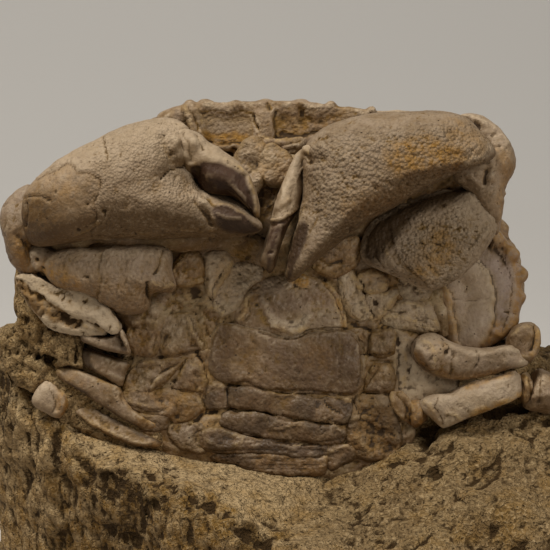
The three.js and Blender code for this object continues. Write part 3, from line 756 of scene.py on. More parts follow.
def left_claw_wrist():
    clay = Clay("left_claw_wrist", [
        plate([[-54, 13.5], [-54.5, 5.5], [-54, 0.5], [-57.5, 1], [-60, 4.5], [-61.5, 10], [-61.5, 14],
               [-60, 17.5], [-57, 19.5], [-55, 19.5]], -6, 7.8, 7.5),
    ])
    clay.weather(21, 0.4, 0.1)
    clay.stroke([
        ([[-56, 16], [-56.4, 12], [-56, 8.6]], 0.7, 0.5), ([[-58, 16.5], [-58.8, 12]], 1.0, -0.4),
        ([[-56, 7.4], [-55, 5.2], [-54.6, 2.6]], 0.9, -0.9), ([[-58, 9], [-56.6, 7.6]], 0.8, -0.6),
    ])
    clay.pits(1.5, 0.25, 0.4, 22)
    clay.grains(1.1, 0.12, 23)
    clay.mark("shade", 0.12)
    clay.mark("ochre", clay.within([[-59, 9], [-55, 9], [-54, 1], [-58, 1]], 2))
    clay.show("shell", "shell", ["left_claw_wrist"])


def left_claw_arm():
    clay = Clay("left_claw_arm", [
        plate([[-23.5, 1], [-23, -3.5], [-28, -4], [-29, -7.5], [-34, -8.5], [-38.5, -6.5], [-43, -4],
               [-48.5, -3], [-52, 0], [-53, 3], [-51.5, 5], [-45, 6.5], [-35, 7], [-24.5, 6.5]], -9, 7.8, 6.5,
              fullness=2.6),
        plate([[-55.5, 5.2], [-54.5, 0.8], [-51.5, 1.5], [-50.5, 4.5], [-52.5, 6.6]], -9, 3.6, 5),
    ])
    clay.weather(31, 0.3, 0.06)
    clay.stroke([
        ([[-28.6, -2], [-28.3, -4.4], [-27.4, -6.6], [-28.2, -8]], 0.45, -0.9),
        ([[-51, 2.4], [-49, 4.4], [-45, 5.4], [-38, 5.2], [-31, 5.6]], 0.8, 0.35),
        ([[-50, 5.6], [-44, 6.6], [-37, 6.4]], 0.6, -0.5),
        ([[-25, 5.4], [-25.6, 2.4], [-27, 0.4]], 0.4, -0.45),
        ([[-53.4, 3.2]], 0.9, -0.9), ([[-52, 1.4]], 0.5, -0.7),
        ([[-27.4, -1.6], [-25, -2.6], [-23, -2.2]], 0.5, 0.5),
    ])
    clay.ledge([[-38.6, 3.2], [-39.2, 1], [-38.4, -1], [-39, -3.6]], 0.16, 0.3, 5)
    low = smoothstep(1, -3, clay.co[:, 2])
    clay.grains(0.8, 0.07, 32, 0.3 + 0.7 * low)
    clay.wrinkles(1.9, 0.16, 33, low, 1.5, 3.4)
    clay.pits(1.5, 0.2, 0.4, 34)
    clay.stroke([([[-41.8, -0.6]], 0.42, -0.8), ([[-42.6, -0.4]], 0.3, -0.5)], 0.1)
    clay.mark("ochre", clay.within([[-52, 3], [-46, 1], [-44, -3], [-52, -1]], 2.5) + 0.3 * low)
    # Painted light on the lit top of the arm, and more painted under shade on its lower half.
    clay.mark("pale", 0.4 * smoothstep(2, 6, clay.co[:, 2]))
    clay.mark("granule", 0.3 + 0.6 * low)
    clay.mark("under", 0.35 + 0.5 * low)
    clay.show("shell", "shell", ["left_claw_arm"])


def right_claw_palm():
    clay = Clay("right_claw_palm", [
        plate(RIGHT_PALM, lean=0.1, **PALM),
        plate([[6.2, 14.3], [4.8, 10.3], [3.7, 6.2], [2.9, 2.6], [2.5, 0], [3.3, -1.4], [4.8, -0.8],
               [6.8, 1.1], [9, 3.3], [11.4, 5.5], [13.3, 8], [12.5, 12.2], [9.1, 14.6]], -14, 4.6, 6, 0.18,
              fullness=2.4, ease=0.4),
    ], 3, cell=cell_size() * 0.84)
    clay.weather(41, 0.3, 0.06)
    coarse = clay.within([[9, 27], [14, 31], [28, 31.5], [40, 31], [45, 28], [47, 25], [28, 16], [17, 8],
                          [11, 8], [9, 14]], 2.5, 0.9)
    clay.stroke([
        ([[47, 25.8], [40, 23.4], [30, 18.2], [20, 12.4], [16, 9.4]], 0.8, 0.45),
        ([[8.6, 27.6], [10.6, 28.2]], 1.0, 0.7), ([[7.6, 25.4]], 0.8, -0.6), ([[10.8, 25.6]], 0.9, -0.35),
        ([[7, 27.6], [9, 29.6], [11.4, 30.4]], 0.6, -0.45),
        ([[6.4, 15.6], [5.4, 11], [3.8, 5.6], [2.6, 0]], 0.55, 0.5),
        ([[9.4, 13.6], [7.6, 10], [5.8, 5]], 0.7, -0.35),
        ([[17.2, 9.6]], 0.8, -0.8), ([[18.6, 9]], 1.2, 0.4),
    ])
    clay.grains(0.9, 0.14, 42, coarse, (1, 1, 1.3))
    clay.wrinkles(1.25, 0.22, 43, coarse, -0.5)
    clay.grains(0.75, 0.06, 44)
    clay.pits(1.5, 0.2, 0.35, 45, 0.15 + coarse)
    enamel = [[5.5, 11.7], [7, 10.8], [6.8, 7.7], [5.6, 4.2], [3.9, 0.2], [2.9, -1.2], [2.4, 1.5], [3.1, 5.5],
              [4.2, 8.8]]
    stain = [[26, 27.5], [31, 29.5], [37, 29], [42, 25.5], [38, 23.5], [30, 22], [25, 24]]
    lower = clay.within([[16, 18], [25, 20], [28, 17.5], [20, 12.5], [15, 13]], 3, 1.5)
    corner = clay.within([[39, 35], [46, 31], [45, 27], [38, 30]], 2.5, 1.2)
    clay.mark("ochre", 1.5 * clay.within(stain, 2.2, 1.2) + 0.7 * lower + 0.5 * corner)
    top = smoothstep(27, 33, clay.co[:, 2])
    # Painted shade towards the bottom of the palm, with the dark tip.
    clay.mark("shade", 0.16 + 0.12 * smoothstep(20, 8, clay.co[:, 2]) + 0.3 * clay.within(enamel, 0.5))
    clay.mark("enamel", 0.12 * top + clay.within(enamel, 0.4))
    clay.mark("granule", 0.3 + coarse)
    clay.show("coarse", "palm", ["right_claw_palm"])


def right_claw_finger():
    outline = [(302, 146), (294, 156), (288, 170), (281, 188), (276, 203), (271, 220), (267, 235), (263, 250),
               (261, 260), (265, 269), (271, 273), (275, 265), (279, 250), (284, 236), (290, 222), (297, 212),
               (301, 204), (303, 190), (303, 178), (304, 165), (311, 154), (308, 147)]
    clay = Clay("right_claw_finger", [
        plate(sketch(outline, -20), -13.6, 5.4, 6, 0.2, fullness=2.3, grow=0.2, ease=0.4),
        plate(sketch([(303, 148), (310, 145), (320, 149), (322, 157), (315, 165), (306, 162)], -20), -14, 4,
              4, fullness=2.4),
    ], 3, drawn=True)
    clay.weather(51, 0.25, 0.06)
    clay.draw([
        ([(271, 221), (276, 219), (282, 220), (288, 214), (294, 211), (300, 206)], 0.3, 0.5),
        ([(272, 225), (277, 223), (284, 223), (290, 217), (297, 212)], 0.35, -0.5),
        ([(297, 156), (290, 172), (284, 190), (279, 208)], 0.7, 0.5),
        ([(302, 164), (296, 182), (290, 202)], 0.8, -0.5), ([(306, 151), (312, 156), (309, 163)], 0.4, 0.5),
        ([(304, 157), (309, 160)], 0.35, -0.6), ([(316, 153)], 0.7, 0.4), ([(271, 252)], 0.3, -0.6),
        ([(284, 205), (290, 198)], 0.5, 0.4),
    ])
    enamel = clay.inside([(270, 222), (276, 221), (283, 221), (290, 215), (298, 209), (300, 213), (290, 232),
                          (282, 252), (276, 272), (266, 273), (263, 262), (266, 240)], 0.4, 0.4)
    clay.grains(0.9, 0.1, 52, 1 - enamel)
    clay.pits(1.5, 0.15, 0.3, 53)
    rim = clay.inside([(258, 262), (262, 240), (268, 222), (272, 222), (268, 244), (267, 268)], 0.35)
    clay.mark("enamel", enamel * (1 - 0.7 * rim))
    clay.mark("pale", 0.5 * (1 - enamel))
    clay.show("finger", "finger", ["right_claw_finger"])


def right_claw_wrist():
    clay = Clay("right_claw_wrist", [
        plate([[54.5, 24.5], [52.5, 19.5], [51.5, 14], [50.5, 9.5], [47.5, 12], [44.5, 18.5], [41, 21.5],
               [40, 26], [40.5, 33], [42.5, 36.5], [47, 36], [50.5, 33.5], [53.5, 29]], -6, 6, 5.5),
    ])
    clay.weather(61, 0.45, 0.1)
    clay.stroke([
        ([[47.4, 27.6], [49, 28.4], [50.6, 28.8]], 0.3, -0.6),
        ([[44, 35], [44.4, 31.4], [45.6, 28]], 0.9, 0.6), ([[42.4, 34.6], [42.8, 31], [43.4, 28]], 0.8, -0.7),
        ([[48, 33.4], [50, 30.4]], 1.0, -0.4), ([[46, 27.4], [48.4, 25.4], [48.6, 21.6]], 0.8, 0.6),
        ([[47.4, 23], [47.2, 20.4]], 0.6, -0.9), ([[46, 35], [49.4, 33.4], [52.4, 29.6]], 0.6, 0.5),
        ([[45.4, 20.6], [43.4, 22.4]], 0.7, 0.5), ([[50.6, 17], [50, 12.6]], 0.7, 0.5),
    ])
    pocket = clay.within([[40.4, 34.6], [42.6, 36], [46, 34], [48.6, 31], [48.4, 27], [45, 26], [42.6, 29],
                          [40.6, 31]], 0.8)
    clay.raise_by(-0.9 * pocket - 0.9 * pocket * np.abs(rough(clay.co, 3.2, 2, 0.6, seed=64)))
    # Painted shade in the pocket.
    clay.mark("shade", 0.35 * pocket)
    clay.pits(1.4, 0.3, 0.45, 62)
    stain = clay.within([[50, 28], [54.5, 26], [54, 20], [51, 12], [49.6, 17], [51, 23]], 1.5)
    clay.mark("ochre", 0.6 * stain)
    clay.mark("pale", 0.35 * clay.facing())
    clay.show("shell", "shell", ["right_claw_wrist"])


def right_claw_arm():
    clay = Clay("right_claw_arm", [
        plate([[50.5, 12], [48.5, 7.5], [45, 3.5], [41.5, 0], [37, -2.5], [34, -3], [28.5, -0.5], [24, 1],
               [20, 3.5], [20, 8], [24, 13.5], [33, 18], [43, 20.5], [47.5, 20.5], [50.5, 16.5]], -7, 6, 5,
              lean=0.24, fullness=3.2),
    ])
    clay.weather(71, 0.3, 0.06)
    rough_part = clay.within([[28, 6], [33, 12], [40, 13], [46, 9], [41, 0], [35, -2.5], [29, 0]], 2.5, 1)
    # Where the palm's cast shadow falls on the arm: carved back, and painted dark below.
    palm_shadow = clay.within([[17, 3], [21, 14], [36, 21], [44, 21.5], [43, 18.5], [33, 14], [26, 8],
                              [22, 2]], 2)
    clay.raise_by(-1.2 * palm_shadow)
    # Painted shade: a little under shade, the front of the arm darker, and the palm's cast shadow.
    clay.mark("under", 0.35)
    clay.mark("shade", 0.18 * clay.facing() + 0.8 * palm_shadow)
    clay.ledge([[33, -1.4], [31.4, 0.4], [28.4, 3.4], [27, 5.6], [26.4, 8]], 0.2, -0.5, 5)
    clay.wrinkles(1.4, 0.4, 72, rough_part, -0.35)
    clay.grains(0.95, 0.13, 73, 0.2 + rough_part)
    clay.pits(1.5, 0.22, 0.4, 74)
    clay.stroke([
        ([[49.4, 13.6], [47.4, 9.4], [44.4, 5.4], [42.4, 1.6], [39, -1.4]], 0.6, 0.35),
        ([[24.6, 6.6], [26.2, 3], [28, 1]], 0.5, 0.4), ([[22, 6.4], [23.4, 3], [24.6, 1.4]], 0.5, -0.5),
    ])
    stain = clay.within([[35, 10], [39, 11], [40, 5], [36, 1], [33, -2], [30, 0], [34, 5]], 2, 1.5)
    clay.mark("ochre", 0.8 * stain)
    # Painted light on the lit upper right of the arm.
    clay.mark("pale", 0.45 * clay.within([[38, 20], [48, 20], [50, 13], [47, 9], [41, 14]], 2))
    clay.mark("enamel", 0.25 * clay.within([[20, 8], [27, 12], [31, 5], [28, -1], [20, 2]], 2.5))
    clay.mark("granule", 0.3 + rough_part)
    clay.show("coarse", "shell", ["right_claw_arm"])

# ---------------------------------------------------------------- tail folded on the belly

# Each segment of the tail: how far it swells towards the belly, and its outline.
TAIL = {
    "telson": (4.4, [
        [16, -12.5], [8.5, -12.8], [5.5, -14], [1, -14.3], [-3.5, -13], [-8, -12], [-9.5, -9.5], [-8, -6],
        [-5.5, -3], [-3, -1], [2, 0.3], [6.5, 0.3], [11, -1.5], [14.5, -4.5], [16, -9]]),
    "abdomen_segment_6": (4.4, [
        [20, -19.5], [19.8, -24.5], [17.4, -27.4], [10, -27], [1, -26.4], [-8, -25], [-12.5, -24],
        [-14.5, -21.5], [-14.8, -17.5], [-14, -13], [-11.5, -10.8], [-7, -11.6], [-3, -12.4], [2.5, -14.2],
        [8, -13.2], [16.5, -12.4], [19.2, -15]]),
    "abdomen_segment_5": (4.0, [
        [17.6, -30], [17, -33], [14.5, -34], [8, -33.2], [1, -32], [-6, -31], [-10, -30.5], [-15.6, -30.6],
        [-16, -27.4], [-13, -25], [-10.5, -25], [-4.5, -25.3], [2.5, -26.8], [10, -27.6], [16.5, -28]]),
    "abdomen_segment_4": (4.0, [
        [16.5, -36.5], [14, -38.5], [5.5, -38], [-2.5, -37.5], [-9, -36], [-13, -33.4], [-11.5, -31],
        [-6.5, -31], [-0.5, -31.8], [7, -33.2], [12, -33.8], [15.5, -34.6]]),
    "abdomen_segment_3": (4.0, [
        [12, -40], [11, -42], [4.5, -41.5], [-4, -40.5], [-11.5, -40.5], [-16, -39.5], [-17, -37],
        [-15.5, -35], [-11, -34.5], [-6, -36.4], [2.5, -37.6], [12, -38.2]]),
    "abdomen_segment_2": (3.8, [
        [12, -44], [10.5, -45.8], [3.5, -45.8], [-4.5, -44.8], [-11, -43.3], [-15, -41.2], [-11, -39.8],
        [-4, -40], [4.5, -40.6], [12, -41.2]]),
    "abdomen_segment_1": (3.4, [
        [18, -39], [18.3, -41.5], [15.5, -43], [12.5, -44.6], [11, -43], [12, -39], [14.5, -38.2]]),
}


def tail_piece(name, strokes, seed, square=4.6):
    swell, outline = TAIL[name]
    clay = Clay(name, [plate(outline, front=swell, fullness=square, ease=0.4)])
    clay.weather(BELLY_SEED, 0.4, 0.08)
    clay.mark("seam", clay.seam(outline, 0.8))
    clay.mark("granule", 0.5)
    clay.stroke(strokes)
    draw_belly_lines(clay)
    clay.grains(0.9, 0.07, seed + 1)
    clay.pits(1.5, 0.18, 0.3, seed + 2)
    return clay


def telson():
    clay = tail_piece("telson", [
        ([[2.5, -8]], 3.6, 0.5),
        ([[-6.4, -4.4], [-7, -7.6], [-8.2, -9.6]], 0.5, 0.35), ([[4, -0.9], [6.4, -1.6]], 1.2, 0.5),
        ([[4.6, -2.6], [7, -2.8]], 0.5, -0.4), ([[9.6, -6.4]], 0.6, 0.3), ([[10.2, -9]], 0.6, 0.3),
    ], seed=101)
    clay.pits(1.3, 0.3, 0.4, 104, clay.within([[9, -3], [14, -6], [15, -11], [9, -12]], 1.5))
    crumb = clay.within([[3.4, 0.4], [7, 0.2], [7.6, -2.2], [4.6, -2.6]], 0.6)
    edge = clay.within([[11, -1], [13.4, -2.6], [15.6, -7], [16.4, -12.6], [14.8, -12], [14.2, -8],
                        [12.4, -4]], 0.7)
    left = clay.within([[-8.6, -9], [-6, -4], [-3.6, -2.6], [-5, -7], [-7, -10.4]], 1.2)
    clay.mark("ochre", crumb + edge * 0.9 + left * 0.45)
    clay.mark("enamel", 0.28 * clay.within([[-1, -5], [3, -4.6], [5, -6], [5, -8], [1, -9]], 2.5))
    # No painted under shade on the telson.
    clay.mark("under", 0.0)
    crust = [(260, 300), (263, 306), (267, 312), (270, 319), (275, 325), (283, 329), (292, 331), (300, 328),
             (306, 322), (311, 315)]
    clay.draw([([place], 0.75, 0.45) for place in crust], BELLY_DEPTH)
    arc = sketch(crust + [(305, 312), (298, 318), (288, 320), (278, 316), (272, 308)], BELLY_DEPTH)
    bumps = clay.within(arc, 0.6, 1.0)
    clay.grains(1.4, 0.3, 106, bumps)
    clay.mark("pale", 0.35 * clay.patches(-0.3, 0.3, 5, 3, seed=105) + 0.75 * bumps)
    clay.show("tail", "tail", ["telson"])


def broad_segment():
    clay = tail_piece("abdomen_segment_6", [
        ([[-0.6, -14.6], [2.4, -15.4], [5.6, -14.6]], 0.8, -0.3), ([[4.8, -21]], 0.3, -0.4),
        ([[5.4, -22]], 0.3, -0.4), ([[-6, -13.2], [-4.4, -17], [-5.6, -22]], 0.7, -0.22),
        ([[14.6, -14], [15.4, -18], [15, -24]], 0.8, -0.2),
    ], seed=111, square=8)
    clay.pits(1.5, 0.22, 0.5, 114, clay.within([[-9, -13], [-1, -15], [-2, -24], [-9, -23]], 1.5))
    clay.mark("ochre", 0.5 * clay.within([[7, -15], [12, -16], [13, -20], [7, -20]], 2) +
              0.3 * clay.within([[-12, -14], [-3, -14], [-4, -24], [-11, -22]], 3))
    clay.mark("shade", 0.1)
    worn = clay.within([[-10, -13], [-3, -14], [-4, -24], [-9, -22]], 2)
    worn = 0.5 * worn * clay.patches(0.1, 0.5, 1.6, 2, seed=116)
    clay.mark("pale", 0.8 * clay.seam(TAIL["abdomen_segment_6"][1], 0.35) + worn)
    clay.mark("enamel", 0.35 * clay.within([[-13, -13], [-10, -14], [-10, -23], [-14, -21]], 1.5) +
              0.3 * clay.within([[1, -17], [9, -15], [17, -16], [17, -25], [3, -24]], 3))
    clay.show("tail", "tail", ["abdomen_segment_6"])


# The narrow segments' seeds, and how much ochre and dark enamel each shows.
NARROW_SEGMENTS = [
    ("abdomen_segment_5", 121, 0.12, 0.6),
    ("abdomen_segment_4", 131, 0.1, 0.5),
    ("abdomen_segment_3", 141, 0.2, 0.5),
    ("abdomen_segment_2", 151, 0.4, 0.3),
    ("abdomen_segment_1", 161, 0.2, 0.35),
]


def narrow_segments():
    for name, seed, ochre, enamel in NARROW_SEGMENTS:
        strokes = [([[-10.6, -25.6], [-10.6, -30.6]], 0.4, -0.7)] if name == "abdomen_segment_5" else []
        clay = tail_piece(name, strokes, seed, square=6)
        places = clay.co
        folds = rough(places * np.array([1.0, 1.0, 0.5]), 3.6, 2, 0.5, seed=seed + 6)
        clay.raise_by(0.45 * folds * clay.facing())
        clay.mark("shade", 0.3 + 0.4 * smoothstep(0.1, -0.4, rough(places, 5, 2, seed=seed + 5)))
        clay.mark("ochre", ochre * (0.5 + smoothstep(-0.3, 0.5, rough(places, 10, 2, seed=seed)) +
                                    smoothstep(2, 14, places[:, 0]) * 0.5))
        clay.mark("enamel", enamel * smoothstep(-0.2, 0.3, rough(places, 12, 2, seed=seed + 4)))
        clay.show("tail", "tail", [name])


# ---------------------------------------------------------------- leg bases and breast plates

# Each plate: how far it swells towards the belly, and its outline in sketch units.
BELLY_PLATES = {
    "left_mouthpart": (3.6, [
        (266, 150), (262, 182), (251, 198), (242, 181), (237, 160), (246, 144), (257, 140)]),
    "right_mouthpart": (3.8, [
        (292, 162), (286, 181), (272, 184), (258, 172), (258, 155), (270, 146), (286, 152)]),
    "left_claw_base": (4.8, [
        (168, 284), (171, 271), (178, 260), (187, 254), (199, 256), (203, 266), (202, 279), (190, 284)]),
    "left_claw_hip": (4.4, [
        (206, 256), (222, 254), (231, 262), (226, 274), (219, 285), (214, 300), (209, 290), (206, 272)]),
    "left_breast_plate_1": (3.7, [
        (232, 266), (247, 264), (263, 268), (262, 278), (250, 287), (243, 300), (232, 312), (222, 317),
        (213, 306), (214, 294), (221, 279)]),
    "left_breast_plate_2": (3.3, [(202, 310), (212, 307), (223, 311), (219, 326), (211, 340), (206, 328)]),
    "left_leg_1_hip": (3.2, [
        (148, 288), (153, 281), (170, 287), (184, 290), (193, 303), (204, 307), (200, 313), (180, 313),
        (160, 313), (150, 307)]),
    "left_leg_1_base": (4.0, [
        (128, 322), (145, 317), (158, 318), (160, 340), (154, 354), (135, 356), (127, 345)]),
    "left_leg_2_base": (3.9, [
        (129, 370), (140, 362), (160, 360), (186, 358), (178, 368), (168, 380), (152, 392), (130, 392),
        (122, 388)]),
    "left_leg_3_base": (3.9, [
        (122, 393), (135, 388), (150, 391), (170, 389), (190, 393), (200, 400), (205, 412), (190, 421),
        (172, 424), (168, 414), (150, 414), (135, 410), (123, 402)]),
    "left_leg_4_base": (3.6, [
        (134, 415), (145, 413), (160, 414), (168, 419), (167, 428), (150, 430), (138, 427)]),
    "left_leg_4_hip": (3.6, [
        (168, 426), (180, 421), (192, 421), (203, 425), (207, 440), (204, 453), (190, 451), (178, 446),
        (170, 438)]),
    "left_breast_plate_3": (3.9, [
        (161, 318), (180, 312), (193, 315), (198, 328), (206, 345), (200, 350), (180, 354), (163, 354),
        (161, 340)]),
    "left_breast_plate_4": (3.8, [
        (176, 380), (183, 369), (190, 360), (197, 366), (207, 384), (203, 392), (190, 391), (172, 389)]),
    "left_breast_plate_5": (3.6, [
        (202, 388), (212, 383), (223, 382), (229, 395), (229, 406), (215, 411), (206, 404)]),
    "right_claw_base": (4.4, [
        (362, 248), (356, 263), (342, 274), (322, 273), (312, 262), (322, 246), (342, 238), (357, 238)]),
    "right_claw_hip": (4.4, [
        (357, 280), (362, 273), (375, 271), (386, 279), (384, 289), (370, 292), (359, 288)]),
    "right_breast_plate_1": (4.1, [
        (340, 276), (352, 272), (359, 287), (366, 303), (371, 318), (360, 322), (350, 314), (344, 298)]),
    "right_breast_plate_2": (3.8, [
        (361, 296), (372, 292), (388, 294), (398, 290), (392, 304), (381, 317), (372, 322), (366, 310)]),
    "right_leg_1_base": (3.7, [
        (398, 304), (410, 300), (425, 307), (440, 328), (425, 333), (405, 328), (385, 326), (380, 320),
        (390, 312)]),
    "right_leg_1_hip": (3.8, [
        (400, 280), (410, 273), (424, 275), (430, 285), (426, 297), (412, 299), (402, 292)]),
    "right_breast_plate_3": (4.0, [(372, 331), (392, 331), (392, 353), (371, 353)]),
    "right_breast_plate_4": (3.5, [
        (352, 333), (368, 330), (371, 345), (368, 358), (372, 365), (366, 378), (360, 390), (359, 380),
        (364, 362), (362, 346)]),
    "right_leg_2_hip": (4.0, [
        (375, 366), (388, 366), (392, 380), (391, 392), (378, 392), (363, 392), (368, 378)]),
    "right_leg_3_base": (3.8, [
        (358, 394), (385, 393), (392, 402), (394, 415), (402, 430), (403, 443), (395, 455), (375, 461),
        (355, 456), (348, 446), (347, 430), (351, 418), (353, 402)]),
}

# Plates that the claws would shade, painted lighter and without painted under shade.
PAINTED_LIGHT_PLATES = ("right_claw_hip", "right_breast_plate_1", "right_breast_plate_2", "right_leg_1_base",
                "right_leg_1_hip", "left_claw_hip", "left_breast_plate_1")

